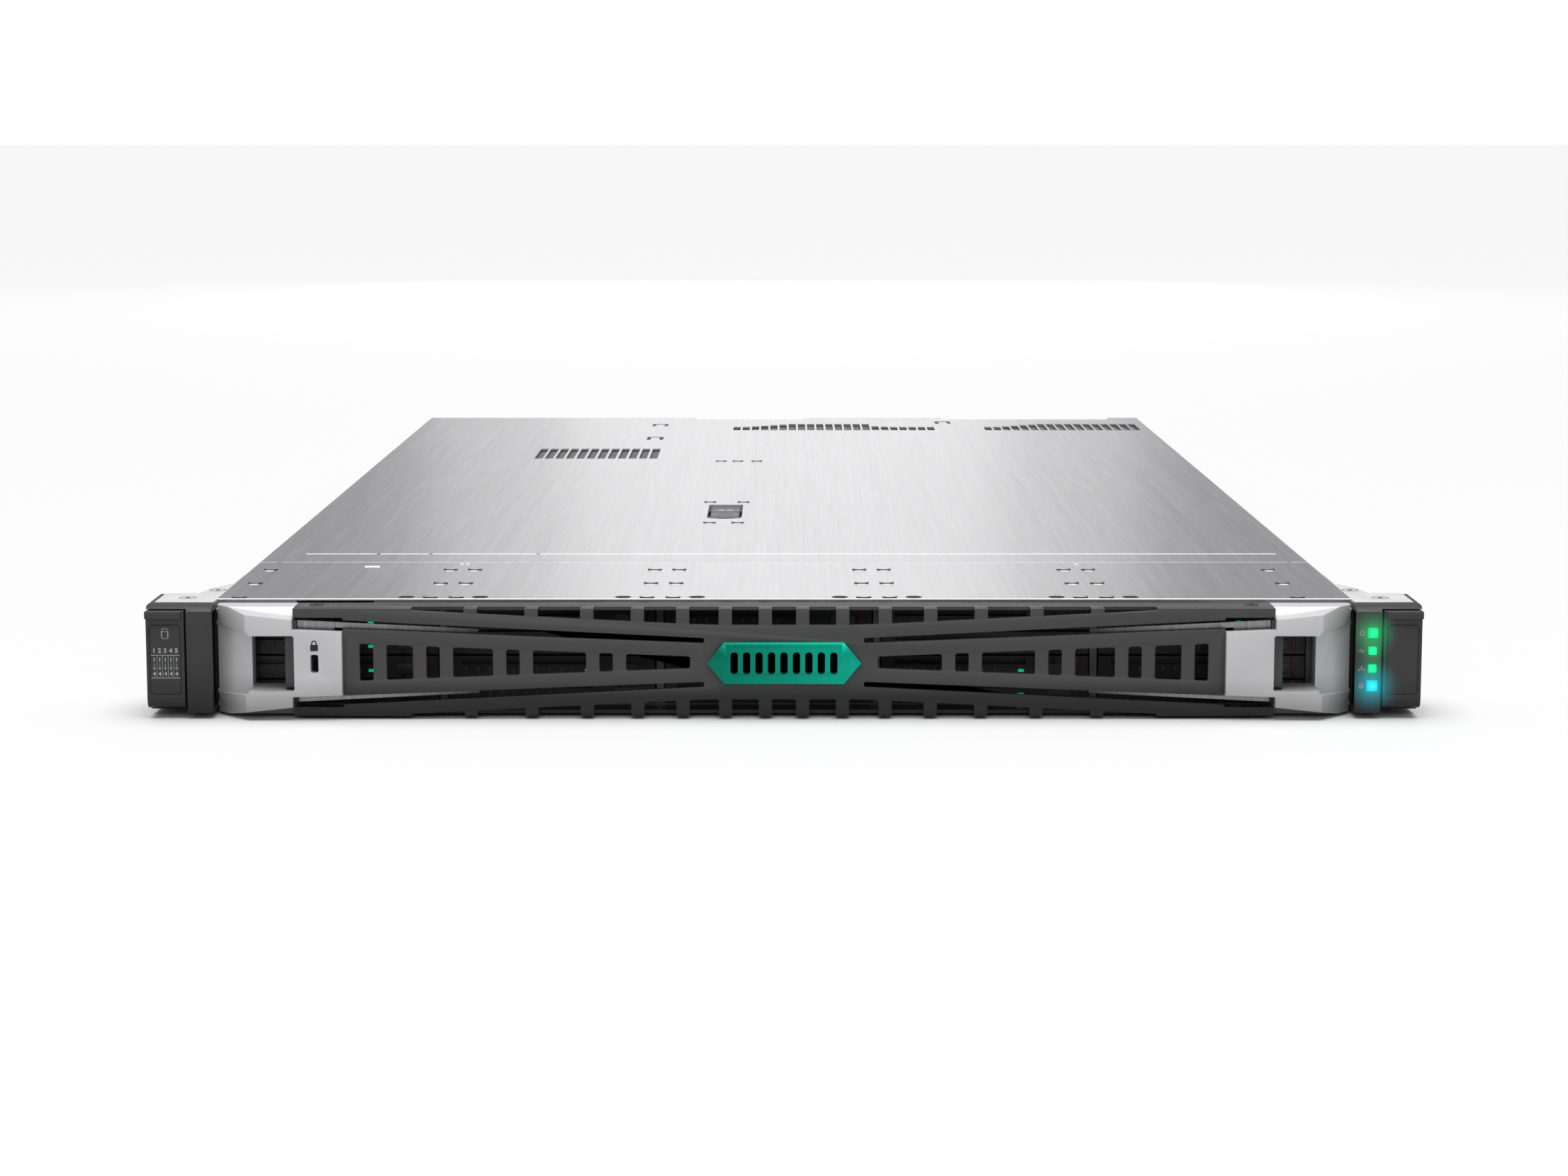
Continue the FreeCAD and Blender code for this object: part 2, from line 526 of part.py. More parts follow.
def front_top_cover():
    """Fixed cover over the drives, clinched to each divider of the cage."""
    span_y = (CHASSIS_FRONT_Y, SEAM_Y)
    plate = box((-HALF_WIDTH, HALF_WIDTH), span_y, (COVER_UNDER_Z, CHASSIS_HEIGHT))
    lip = box((-INNER_HALF + TOUCH, INNER_HALF - TOUCH), (CHASSIS_FRONT_Y, CHASSIS_FRONT_Y + SHEET),
              (COVER_UNDER_Z - FRONT_LIP_DROP, CHASSIS_HEIGHT))
    ledge = box((-LEDGE_HALF, LEDGE_HALF), (LEDGE_FRONT_Y, CHASSIS_FRONT_Y),
                (COVER_UNDER_Z - FRONT_LIP_DROP, COVER_UNDER_Z - FRONT_LIP_DROP + SHEET))
    marks = []
    half = CLINCH_PAIR / 2
    for y in CLINCH_ROWS_Y:
        marks += [clinch(x + offset, y) for x in DIVIDER_XS[:-1] for offset in (-half, half)]
        marks += [clinch(CAGE_LEFT_X + half, y), clinch(DIVIDER_XS[-1] - half, y)]
    marks.append(prism_yz([(LANCE_Y, CHASSIS_HEIGHT), (LANCE_Y + LANCE_WIDTH, CHASSIS_HEIGHT),
                           (LANCE_Y + LANCE_WIDTH, CHASSIS_HEIGHT + LANCE_RISE)], LANCE_X))
    through = (COVER_UNDER_Z - SHEET, CHASSIS_HEIGHT + SHEET)
    cuts = [rod("z", (x + offset, CLINCH_ROWS_Y[0] + 2 * FIT), COVER_HOLE_RADIUS, through)
            for x in DIVIDER_XS[:-1] for offset in (-COVER_HOLE_OFFSET, COVER_HOLE_OFFSET)]
    cuts += [rod("z", place, PILOT_DOT_RADIUS, through) for place in PILOT_DOTS]
    cuts.append(box(LIP_SLOT_X, (CHASSIS_FRONT_Y - TOUCH, CHASSIS_FRONT_Y + SHEET + TOUCH),
                    (COVER_UNDER_Z - FRONT_LIP_DROP + SHEET, CHASSIS_HEIGHT - LIP_SLOT_TOP)))
    cuts.append(front_bend(CHASSIS_FRONT_Y, FRONT_BEND_RADIUS))
    cover = without(fused([plate, lip, ledge] + cover_flanges(span_y)), cuts)
    return fused([cover] + marks)


def vent_row(x, y, pitch, lengths):
    """Row of rectangular vent slots through the access panel, one for each length."""
    return [box((x + i * pitch, x + i * pitch + VENT_SLOT_WIDTH), (y, y + length),
                (COVER_UNDER_Z - SHEET, CHASSIS_HEIGHT + SHEET))
            for i, length in enumerate(lengths)]


def ramped_lengths(count, last_long):
    """Slot lengths that start short, ramp up to the long ones and drop again past last_long."""
    lengths = []
    for i in range(count):
        rise = min(max(i - VENT_RAMP_START + 1, 0), VENT_RAMP_SLOTS) / VENT_RAMP_SLOTS
        fall = 1.0 if i <= last_long else max(0.0, 0.35 - 0.12 * (i - last_long))
        lengths.append(REAR_VENT_SHORT + (REAR_VENT_LONG - REAR_VENT_SHORT) * min(rise, fall))
    return lengths


def panel_outline():
    """Outline of the access panel, whose rear edge has two notches between its three tabs."""
    notch_right = HALF_WIDTH - CORNER_TAB_WIDTH
    points = [(-HALF_WIDTH, PANEL_FRONT_Y), (-HALF_WIDTH, PANEL_REAR_Y)]
    for left, right in (LEFT_NOTCH_X, (notch_right - RIGHT_NOTCH_WIDTH, notch_right)):
        points += [(left, PANEL_REAR_Y), (left, REAR_WALL_Y), (right, REAR_WALL_Y), (right, PANEL_REAR_Y)]
    return points + [(HALF_WIDTH, PANEL_REAR_Y), (HALF_WIDTH, PANEL_FRONT_Y)]


def step_groove():
    """Pressed line across the access panel, whose rear side slopes; short bridges break it."""
    top = CHASSIS_HEIGHT
    section = [(STEP_GROOVE_Y, top), (STEP_GROOVE_Y + STEP_GROOVE_VALLEY, top - STEP_GROOVE_DEPTH),
               (STEP_GROOVE_Y + STEP_GROOVE_WIDTH, top)]
    starts = [-HALF_WIDTH + STEP_GROOVE_INSETS[0]] + [x + STEP_GROOVE_BREAK / 2 for x in STEP_GROOVE_BREAKS]
    ends = [x - STEP_GROOVE_BREAK / 2 for x in STEP_GROOVE_BREAKS] + [HALF_WIDTH - STEP_GROOVE_INSETS[1]]
    return [prism_yz(section, run_x) for run_x in zip(starts, ends)]


def access_panel():
    """Removable panel over fans, board and power supplies, with the latch tray riveted under its cut-out."""
    through = (COVER_UNDER_Z - SHEET, CHASSIS_HEIGHT + SHEET)
    plate = prism_xy(panel_outline(), (COVER_UNDER_Z, CHASSIS_HEIGHT))
    flanges = cover_flanges((PANEL_FRONT_Y, REAR_WALL_Y - SHEET - PANEL_TRAVEL - FIT))
    cuts = step_groove() + [latch_pocket(through), front_bend(PANEL_FRONT_Y, PANEL_BEND_RADIUS)]
    cuts += vent_row(SIDE_VENT_X, SIDE_VENT_Y, SIDE_VENT_PITCH, [SIDE_VENT_LENGTH] * SIDE_VENT_COUNT)
    cuts += vent_row(CENTRE_VENT_X, REAR_VENT_Y, REAR_VENT_PITCH,
                     ramped_lengths(CENTRE_VENT_COUNT, CENTRE_VENT_LAST_LONG))
    cuts += vent_row(CORNER_VENT_X, REAR_VENT_Y, REAR_VENT_PITCH,
                     ramped_lengths(CORNER_VENT_COUNT, CORNER_VENT_COUNT))
    for x, y in PANEL_TAB_CUTS:
        opening = box((x, x + PANEL_TAB_CUT_SIZE[0]), (y, y + PANEL_TAB_CUT_SIZE[1]), through)
        side_gap = (PANEL_TAB_CUT_SIZE[0] - PANEL_TAB_TONGUE[0]) / 2
        tongue = box((x + side_gap, x + side_gap + PANEL_TAB_TONGUE[0]), (y, y + PANEL_TAB_TONGUE[1]),
                     through)
        cuts.append(opening.cut(tongue))
    panel = fused([without(fused([plate] + flanges), cuts)] + [clinch(x, y) for x, y in PANEL_CLINCHES])
    return group([panel, hood_latch_tray()])


def latch_pocket(z):
    """Rectangular pocket whose front edge bows out in an arc."""
    half = (LATCH_POCKET_X[1] - LATCH_POCKET_X[0]) / 2
    radius = (half ** 2 + LATCH_POCKET_BULGE ** 2) / (2 * LATCH_POCKET_BULGE)
    front = LATCH_POCKET_Y[0]
    bow = rod("z", (sum(LATCH_POCKET_X) / 2, front - LATCH_POCKET_BULGE + radius), radius, z)
    bow = bow.common(box(LATCH_POCKET_X, (front - LATCH_POCKET_BULGE - SHEET, front + SHEET), z))
    return fused([box(LATCH_POCKET_X, LATCH_POCKET_Y, z), bow])


def latch_pin_place():
    """Height and depth position of the latch lever's pin."""
    top = CHASSIS_HEIGHT - LATCH_SINK
    return LATCH_POCKET_Y[1] - LATCH_PIN_INSET, top - LATCH_BARREL_RADIUS


def hood_latch_tray():
    """Open-topped pocket under the access panel that carries the latch lever's pin."""
    outer_x = (LATCH_POCKET_X[0] - LATCH_WALL, LATCH_POCKET_X[1] + LATCH_WALL)
    outer_y = (LATCH_POCKET_Y[0] - LATCH_POCKET_BULGE - LATCH_WALL, LATCH_POCKET_Y[1] + LATCH_WALL)
    floor_z = COVER_UNDER_Z - LATCH_POCKET_DEPTH
    tray = box(outer_x, outer_y, (floor_z - LATCH_WALL, COVER_UNDER_Z))
    pin_y, pin_z = latch_pin_place()
    return without(tray, [latch_pocket((floor_z, CHASSIS_HEIGHT)),
                          rod("x", (pin_y, pin_z), LATCH_PIN_RADIUS + PIN_CLEARANCE,
                              (outer_x[0] - LATCH_WALL, outer_x[1] + LATCH_WALL))])


def hood_latch():
    """Flat lever with its barrel and pin; lifting its front end drives the panel to the rear."""
    pin_y, pin_z = latch_pin_place()
    top = CHASSIS_HEIGHT - LATCH_SINK
    x = (LATCH_POCKET_X[0] + LATCH_SIDE_GAP, LATCH_POCKET_X[1] - LATCH_SIDE_GAP)
    front = LATCH_POCKET_Y[0] + LATCH_FINGER_GAP
    arm = box(x, (front, pin_y), (top - LATCH_THICKNESS, top))
    finger_ramp = prism_yz([(front, top - LATCH_THICKNESS), (front, top - LATCH_THICKNESS / 2),
                            (front + 2 * LATCH_THICKNESS, top - LATCH_THICKNESS)], x)
    barrel = rod("x", (pin_y, pin_z), LATCH_BARREL_RADIUS, x)
    pin = rod("x", (pin_y, pin_z), LATCH_PIN_RADIUS,
              (LATCH_POCKET_X[0] - LATCH_WALL, LATCH_POCKET_X[1] + LATCH_WALL))
    grooves = [box(x, (y - LATCH_GROOVE / 2, y + LATCH_GROOVE / 2), (top - LATCH_GROOVE, top + SHEET))
               for y in LATCH_GROOVES_Y]
    return without(fused([arm, barrel, pin]), [finger_ramp] + grooves)


# ---- drive bay -----------------------------------------------------------------------------------
def row_z(row):
    """Centre height of a drive row, counted from the floor."""
    return FIRST_ROW_Z + row * ROW_PITCH


def bay_centre_x(bay):
    """Centre of a drive bay, counted from the left."""
    return CAGE_LEFT_X + (bay + 0.5) * BAY_PITCH


def drive_cage():
    """Base plate with five bays between upright dividers, and a ledge under both edges of each drive."""
    half = DIVIDER_THICKNESS / 2
    right = DIVIDER_XS[-1] + half
    parts = [box((CAGE_LEFT_X - half, right), (CAGE_FRONT_Y, CAGE_REAR_Y), (SHEET, 2 * SHEET))]
    for i, x in enumerate([CAGE_LEFT_X] + DIVIDER_XS):
        top = WALL_TOP_Z if i > 0 else FLANGE_BOTTOM_Z - FIT
        parts.append(box((x - half, x + half), (CAGE_FRONT_Y, CAGE_REAR_Y), (SHEET, top)))
        reach_left = GUIDE_REACH if i > 0 else 0
        reach_right = GUIDE_REACH if i < BAY_COUNT else 0
        for row in range(ROW_COUNT):
            top = row_z(row) - DRIVE_HEIGHT / 2 - DRIVE_FLOAT
            parts.append(box((x - half - reach_left, x + half + reach_right),
                             (DRIVE_FACE_Y + DRIVE_FACE_DEPTH + 2 * DRIVE_FLOAT, CAGE_REAR_Y),
                             (top - GUIDE_THICKNESS, top)))
    return fused(parts)


def drive(bay, row):
    """Flat drive in its carrier: a long case behind a wider face with a release latch at its right end."""
    x, z = bay_centre_x(bay), row_z(row)
    face_back = DRIVE_FACE_Y + DRIVE_FACE_DEPTH
    case = box((x - DRIVE_WIDTH / 2, x + DRIVE_WIDTH / 2), (face_back, DRIVE_REAR_Y),
               (z - DRIVE_HEIGHT / 2, z + DRIVE_HEIGHT / 2))
    face = box((x - DRIVE_FACE_WIDTH / 2, x + DRIVE_FACE_WIDTH / 2), (DRIVE_FACE_Y, face_back),
               (z - DRIVE_FACE_HEIGHT / 2, z + DRIVE_FACE_HEIGHT / 2))
    latch_edge = x + DRIVE_FACE_WIDTH / 2 - DRIVE_LATCH_WIDTH
    front = DRIVE_FACE_Y - FIT
    vent = box((x - DRIVE_FACE_WIDTH / 2 + BAR_WIDTH, latch_edge - 2 * BAR_WIDTH),
               (front, DRIVE_FACE_Y + 2 * DRIVE_LATCH_DEPTH),
               (z + DRIVE_FACE_HEIGHT / 8, z + DRIVE_FACE_HEIGHT / 3))
    step = box((latch_edge, latch_edge + DRIVE_LATCH_DEPTH), (front, DRIVE_FACE_Y + DRIVE_LATCH_DEPTH),
               (z - DRIVE_FACE_HEIGHT, z + DRIVE_FACE_HEIGHT))
    return without(fused([case, face]), [vent, step])


def drive_backplane():
    """Upright circuit board behind the drives, with one connector for each drive and cooling cut-outs."""
    y = DRIVE_REAR_Y + DRIVE_FLOAT + CONNECTOR_LENGTH
    board = box((CAGE_LEFT_X + DIVIDER_THICKNESS, DIVIDER_XS[-1] - DIVIDER_THICKNESS),
                (y, y + BACKPLANE_THICKNESS), (SHEET, FLANGE_BOTTOM_Z))
    parts, cuts = [board], []
    for bay in range(BAY_COUNT):
        x = bay_centre_x(bay)
        for row in range(ROW_COUNT):
            parts.append(box((x - DRIVE_WIDTH / 2, x - DRIVE_WIDTH / 2 + CONNECTOR_WIDTH),
                             (y - CONNECTOR_LENGTH, y),
                             (row_z(row) - CONNECTOR_HEIGHT / 2, row_z(row) + CONNECTOR_HEIGHT / 2)))
            if row < ROW_COUNT - 1:
                middle = row_z(row) + ROW_PITCH / 2
                cuts.append(box((x + DRIVE_WIDTH / 2 - BACKPLANE_VENT, x + DRIVE_WIDTH / 2),
                                (y - FIT, y + BACKPLANE_THICKNESS + FIT),
                                (middle - ROW_PITCH / 4, middle + ROW_PITCH / 4)))
    return without(fused(parts), cuts)


# ---- fans ----------------------------------------------------------------------------------------
def fan_centre(index):
    """Axis of a fan: X and Z."""
    return (index - (FAN_COUNT - 1) / 2) * FAN_PITCH, SHEET + FAN_HEIGHT / 2


def fan_housings():
    """Row of fan frames, each a block with a round duct and a motor seat on four arms at its rear."""
    frames = []
    rear = FAN_FRONT_Y + FAN_LENGTH
    seat_front = FAN_FRONT_Y + ROTOR_SET_BACK + ROTOR_LENGTH + STATOR_GAP
    for index in range(FAN_COUNT):
        x, z = fan_centre(index)
        frame = box((x - FAN_WIDTH / 2, x + FAN_WIDTH / 2), (FAN_FRONT_Y, rear),
                    (SHEET, SHEET + FAN_HEIGHT))
        duct = rod("y", (x, z), FAN_BORE_RADIUS, (FAN_FRONT_Y - SHEET, rear + SHEET))
        arm_y = (seat_front, seat_front + STATOR_ARM_DEPTH)
        reach = FAN_BORE_RADIUS + SHEET
        arms = [box((x - reach, x + reach), arm_y, (z - STATOR_ARM_WIDTH / 2, z + STATOR_ARM_WIDTH / 2)),
                box((x - STATOR_ARM_WIDTH / 2, x + STATOR_ARM_WIDTH / 2), arm_y, (z - reach, z + reach))]
        seat = rod("y", (x, z), ROTOR_HUB_RADIUS, (seat_front, rear - ROTOR_SET_BACK))
        spindle_bore = rod("y", (x, z), SPINDLE_RADIUS + PIN_CLEARANCE,
                           (seat_front - SHEET, seat_front + 2 * STATOR_ARM_DEPTH))
        frames.append(fused([frame.cut(duct)] + arms + [seat]).cut(spindle_bore))
    return group(frames)


def fan_rotor(index):
    """Hub with its spindle and twisted blades."""
    x, z = fan_centre(index)
    front = FAN_FRONT_Y + ROTOR_SET_BACK
    rear = front + ROTOR_LENGTH
    hub = rod("y", (x, z), ROTOR_HUB_RADIUS, (front, rear))
    spindle = rod("y", (x, z), SPINDLE_RADIUS, (rear, rear + STATOR_GAP + 2 * STATOR_ARM_DEPTH - SHEET))
    tip = FAN_BORE_RADIUS - ROTOR_TIP_GAP
    middle_y = (front + rear) / 2
    sections = []
    for radius, angle in ((ROTOR_HUB_RADIUS - SHEET, BLADE_ROOT_ANGLE), (tip, BLADE_TIP_ANGLE)):
        lean = math.radians(angle)
        along = Vector(0, math.sin(lean), math.cos(lean)) * (BLADE_CHORD / 2)
        across = Vector(0, math.cos(lean), -math.sin(lean)) * (BLADE_THICKNESS / 2)
        centre = Vector(radius, 0, 0)
        corners = [centre + along + across, centre + along - across, centre - along - across,
                   centre - along + across]
        sections.append(Part.makePolygon(corners + corners[:1]))
    blade = Part.makeLoft(sections, True, True)
    limit = rod("y", (0, 0), tip, (-ROTOR_LENGTH / 2, ROTOR_LENGTH / 2))
    blade = blade.common(limit)
    blades = []
    for i in range(BLADE_COUNT):
        copy = blade.copy()
        copy.rotate(Vector(0, 0, 0), Vector(0, 1, 0), 360.0 * i / BLADE_COUNT)
        copy.translate(Vector(x, middle_y, z))
        blades.append(copy)
    return fused([hub, spindle] + blades)


# ---- system board --------------------------------------------------------------------------------
def memory_xs():
    """Centre of each memory module: a bank outside each processor and a double bank between them."""
    inner = [(i - (INNER_BANK - 1) / 2) * DIMM_PITCH for i in range(INNER_BANK)]
    first = PROCESSOR_X + SINK_WIDTH / 2 + DIMM_PITCH / 2
    outer = [first + i * DIMM_PITCH for i in range(OUTER_BANK)]
    return [-x for x in outer] + inner + outer


def system_board():
    """L-shaped main board on standoffs, with its memory sockets and the controller's small heat sink."""
    left, right = -INNER_HALF + BOARD_EDGE_GAP, INNER_HALF - BOARD_EDGE_GAP
    step_x = PSU_WALL_X + SHEET + BOARD_EDGE_GAP
    step_y = PSU_REAR_Y - PSU_LENGTH - 2 * BOARD_EDGE_GAP
    outline = [(left, BOARD_FRONT_Y), (right, BOARD_FRONT_Y), (right, BOARD_REAR_Y), (step_x, BOARD_REAR_Y),
               (step_x, step_y), (left, step_y)]
    parts = [prism_xy(outline, (BOARD_UNDER_Z, BOARD_TOP_Z))]
    socket_y = (DIMM_CENTRE_Y - DIMM_SOCKET_LENGTH / 2, DIMM_CENTRE_Y + DIMM_SOCKET_LENGTH / 2)
    for x in memory_xs():
        parts.append(box((x - DIMM_SOCKET_WIDTH / 2, x + DIMM_SOCKET_WIDTH / 2), socket_y,
                         (BOARD_TOP_Z, BOARD_TOP_Z + DIMM_SOCKET_HEIGHT)))
    inset = 2 * STANDOFF_RADIUS + BOARD_EDGE_GAP
    for x in (left + inset, step_x + inset, right - inset):
        for y in (BOARD_FRONT_Y + inset, step_y - inset, BOARD_REAR_Y - inset):
            if x > step_x or y < step_y:
                parts.append(rod("z", (x, y), STANDOFF_RADIUS, (SHEET, BOARD_UNDER_Z)))
    controller_y = DIMM_CENTRE_Y + CONTROLLER_BEHIND_MEMORY
    controller = box((0, CONTROLLER_SIZE), (controller_y, controller_y + CONTROLLER_SIZE),
                     (BOARD_TOP_Z, BOARD_TOP_Z + CONTROLLER_HEIGHT))
    return fused(parts + [controller])


def processor_heatsinks():
    """Two finned heat sinks on their processor sockets."""
    sinks = []
    for side in SIDES.values():
        centre = side * PROCESSOR_X
        y = (DIMM_CENTRE_Y - SINK_LENGTH / 2, DIMM_CENTRE_Y + SINK_LENGTH / 2)
        base_z = BOARD_TOP_Z + SOCKET_HEIGHT
        half = SINK_WIDTH / 2 - FIT
        socket_half = SINK_WIDTH / 3
        parts = [box((centre - socket_half, centre + socket_half),
                     (y[0] + SINK_WIDTH / 4, y[1] - SINK_WIDTH / 4),
                     (BOARD_TOP_Z, base_z)),
                 box((centre - half, centre + half), y, (base_z, base_z + SINK_BASE))]
        pitch = (2 * half - FIN_THICKNESS) / (FIN_COUNT - 1)
        for i in range(FIN_COUNT):
            x = centre - half + i * pitch
            parts.append(box((x, x + FIN_THICKNESS), y, (base_z + SINK_BASE, SINK_TOP_Z)))
        sinks.append(fused(parts))
    return group(sinks)


def memory_modules():
    """Thirty-two memory modules, each a board with a chip block on both faces."""
    modules = []
    low = BOARD_TOP_Z + DIMM_SOCKET_HEIGHT
    y = (DIMM_CENTRE_Y - DIMM_LENGTH / 2, DIMM_CENTRE_Y + DIMM_LENGTH / 2)
    for x in memory_xs():
        board = box((x - DIMM_THICKNESS / 2, x + DIMM_THICKNESS / 2), y, (low, low + DIMM_HEIGHT))
        half = DIMM_THICKNESS / 2 + DIMM_CHIP_THICKNESS
        chips = box((x - half, x + half), (y[0] + DIMM_PITCH, y[1] - DIMM_PITCH),
                    (low + DIMM_HEIGHT / 4, low + DIMM_HEIGHT * 0.8))
        modules.append(fused([board, chips]))
    return group(modules)


# ---- rear of the chassis -------------------------------------------------------------------------
def riser_cages():
    """Two card cages: each a slotted rear bracket in its opening, a shelf and an upright on the board."""
    cages = []
    for left, right in SLOT_EDGES_X:
        x = (left + TOUCH, right - TOUCH)
        z = (SLOT_UNDER_Z + TOUCH, SLOT_UNDER_Z + SLOT_HEIGHT - TOUCH - FIT)
        bracket = box(x, (REAR_WALL_Y - SHEET, REAR_WALL_Y), z)
        columns = int((x[1] - x[0] - BAR_WIDTH) // BAR_WIDTH)
        start = (x[0] + x[1] - (columns - 1) * BAR_WIDTH) / 2
        holes = [box((start + (i - 0.28) * BAR_WIDTH, start + (i + 0.28) * BAR_WIDTH),
                     (REAR_WALL_Y - 2 * SHEET, REAR_WALL_Y + SHEET), (z[0] + BAR_WIDTH, z[1] - BAR_WIDTH))
                 for i in range(columns)]
        shelf = box(x, (REAR_WALL_Y - RISER_LENGTH, REAR_WALL_Y - SHEET), (z[0], z[0] + SHEET))
        upright = box((x[0], x[0] + 2 * SHEET),
                      (REAR_WALL_Y - RISER_LENGTH, REAR_WALL_Y - SHEET - RISER_LENGTH / 3),
                      (BOARD_TOP_Z, z[1]))
        cages.append(without(fused([bracket, shelf, upright]), holes))
    return group(cages)


def adapter_port_xs():
    """Centres of the network adapter's two cable cages."""
    middle = sum(ADAPTER_X) / 2
    return [middle - PORT_CAGE_WIDTH, middle + PORT_CAGE_WIDTH]


def network_adapter():
    """Slide-in network card: circuit board, face plate and two open cable cages."""
    x = (ADAPTER_X[0] + TOUCH, ADAPTER_X[1] - TOUCH)
    board = box(x, (REAR_WALL_Y - ADAPTER_LENGTH, REAR_WALL_Y), (ADAPTER_UNDER_Z, ADAPTER_UNDER_Z + 1.6))
    plate = box(x, (REAR_WALL_Y - SHEET, REAR_WALL_Y),
                (ADAPTER_UNDER_Z, ADAPTER_UNDER_Z + ADAPTER_HEIGHT - TOUCH))
    parts, cuts = [board, plate], []
    low = ADAPTER_UNDER_Z + 1.6
    for centre in adapter_port_xs():
        half = PORT_CAGE_WIDTH / 2
        parts.append(box((centre - half, centre + half),
                         (REAR_WALL_Y - PORT_CAGE_LENGTH, REAR_WALL_Y + PORT_PROUD),
                         (low, low + PORT_CAGE_HEIGHT)))
        inner = half - PORT_CAGE_WALL
        cuts.append(box((centre - inner, centre + inner),
                        (REAR_WALL_Y + PORT_PROUD - PORT_CAGE_DEPTH, REAR_WALL_Y + 2 * PORT_PROUD),
                        (low + PORT_CAGE_WALL, low + PORT_CAGE_HEIGHT - PORT_CAGE_WALL)))
    return without(fused(parts), cuts)


def rear_port_shells():
    """Metal shells of the board's rear ports: two for data keys and one for the management network."""
    shells = []
    for x, z, width, height in port_places():
        shell = prism_xz(centred_rect(x, z, width, height),
                         (REAR_WALL_Y - PORT_LENGTH, REAR_WALL_Y + PORT_PROUD))
        inner = prism_xz(centred_rect(x, z, width - 2 * PORT_SHELL_WALL, height - 2 * PORT_SHELL_WALL),
                         (REAR_WALL_Y - PORT_LENGTH + 3 * SHEET, REAR_WALL_Y + 2 * PORT_PROUD))
        shells.append(shell.cut(inner))
    return group(shells)


def power_supply(index):
    """Hot-plug power supply: vented case with a mains inlet, a loop handle and a release latch."""
    x = PSU_CENTRES[index]
    z0, z1 = PSU_UNDER_Z, PSU_UNDER_Z + PSU_HEIGHT
    middle = (z0 + z1) / 2
    left, right = x - PSU_WIDTH / 2, x + PSU_WIDTH / 2
    case = box((left, right), (PSU_REAR_Y - PSU_LENGTH, PSU_REAR_Y), (z0, z1))
    fan_x = right - PSU_FAN_RADIUS - 3 * PSU_GRILLE_RING
    eye_depth = (PSU_REAR_Y - 8 * SHEET, PSU_REAR_Y + SHEET)
    well = rod("y", (fan_x, middle), PSU_FAN_RADIUS, eye_depth)
    rings = []
    for share in (0.36, 0.68):
        ring = rod("y", (fan_x, middle), PSU_FAN_RADIUS * share + PSU_GRILLE_RING / 2,
                   (PSU_REAR_Y - SHEET, PSU_REAR_Y))
        rings.append(ring.cut(rod("y", (fan_x, middle), PSU_FAN_RADIUS * share - PSU_GRILLE_RING / 2,
                                  eye_depth)))
    spoke = PSU_GRILLE_RING / 2
    rings.append(box((fan_x - PSU_FAN_RADIUS, fan_x + PSU_FAN_RADIUS), (PSU_REAR_Y - SHEET, PSU_REAR_Y),
                     (middle - spoke, middle + spoke)))
    rings.append(box((fan_x - spoke, fan_x + spoke), (PSU_REAR_Y - SHEET, PSU_REAR_Y),
                     (middle - PSU_FAN_RADIUS, middle + PSU_FAN_RADIUS)))
    inlet_x = left + INLET_WALL + INLET_WIDTH / 2 + BEZEL_WALL
    inlet_z = z0 + INLET_WALL + INLET_HEIGHT / 2 + BEZEL_WALL
    inlet = prism_xz(centred_rect(inlet_x, inlet_z, INLET_WIDTH, INLET_HEIGHT),
                     (PSU_REAR_Y - INLET_DEPTH, PSU_REAR_Y + SHEET))
    handle_x = fan_x - PSU_FAN_RADIUS - HANDLE_WIDTH
    handle = box((handle_x, handle_x + HANDLE_WIDTH), (PSU_REAR_Y, PSU_REAR_Y + HANDLE_REACH),
                 (middle - HANDLE_HEIGHT / 2, middle + HANDLE_HEIGHT / 2))
    finger = box((handle_x - SHEET, handle_x + HANDLE_WIDTH + SHEET),
                 (PSU_REAR_Y, PSU_REAR_Y + HANDLE_REACH - HANDLE_BAR),
                 (middle - HANDLE_HEIGHT / 2 + HANDLE_BAR, middle + HANDLE_HEIGHT / 2 - HANDLE_BAR))
    latch = box((inlet_x - PSU_LATCH_WIDTH / 2, inlet_x + PSU_LATCH_WIDTH / 2),
                (PSU_REAR_Y, PSU_REAR_Y + PSU_LATCH_REACH),
                (z1 - 2 * BEZEL_WALL - INLET_WALL, z1 - BEZEL_WALL))
    body = without(case, [well, inlet])
    return fused([body] + rings + [handle.cut(finger), latch])


# ---- front ports ---------------------------------------------------------------------------------
def front_port_panel():
    """Narrow plate between the last drive bay and the right wall, with two service sockets."""
    x = (DIVIDER_XS[-1] + DIVIDER_THICKNESS / 2 + TOUCH, INNER_HALF - SHEET - 2 * TOUCH)
    plate = box(x, (CAGE_FRONT_Y, CAGE_FRONT_Y + 2 * SHEET), (SHEET, FLANGE_BOTTOM_Z))
    middle = sum(x) / 2
    parts, cuts = [plate], []
    wide, tall, wall = SERVICE_SOCKET_WIDTH, SERVICE_SOCKET_HEIGHT, SERVICE_SOCKET_WALL
    for z in (BEZEL_MID_Z - ROW_PITCH, BEZEL_MID_Z + ROW_PITCH / 2):
        parts.append(prism_xz(centred_rect(middle, z, wide, tall),
                              (CAGE_FRONT_Y, CAGE_FRONT_Y + PORT_LENGTH)))
        cuts.append(prism_xz(centred_rect(middle, z, wide - 2 * wall, tall - 2 * wall),
                             (CAGE_FRONT_Y - SHEET, CAGE_FRONT_Y + PORT_LENGTH - 3 * SHEET)))
    return without(fused(parts), cuts)


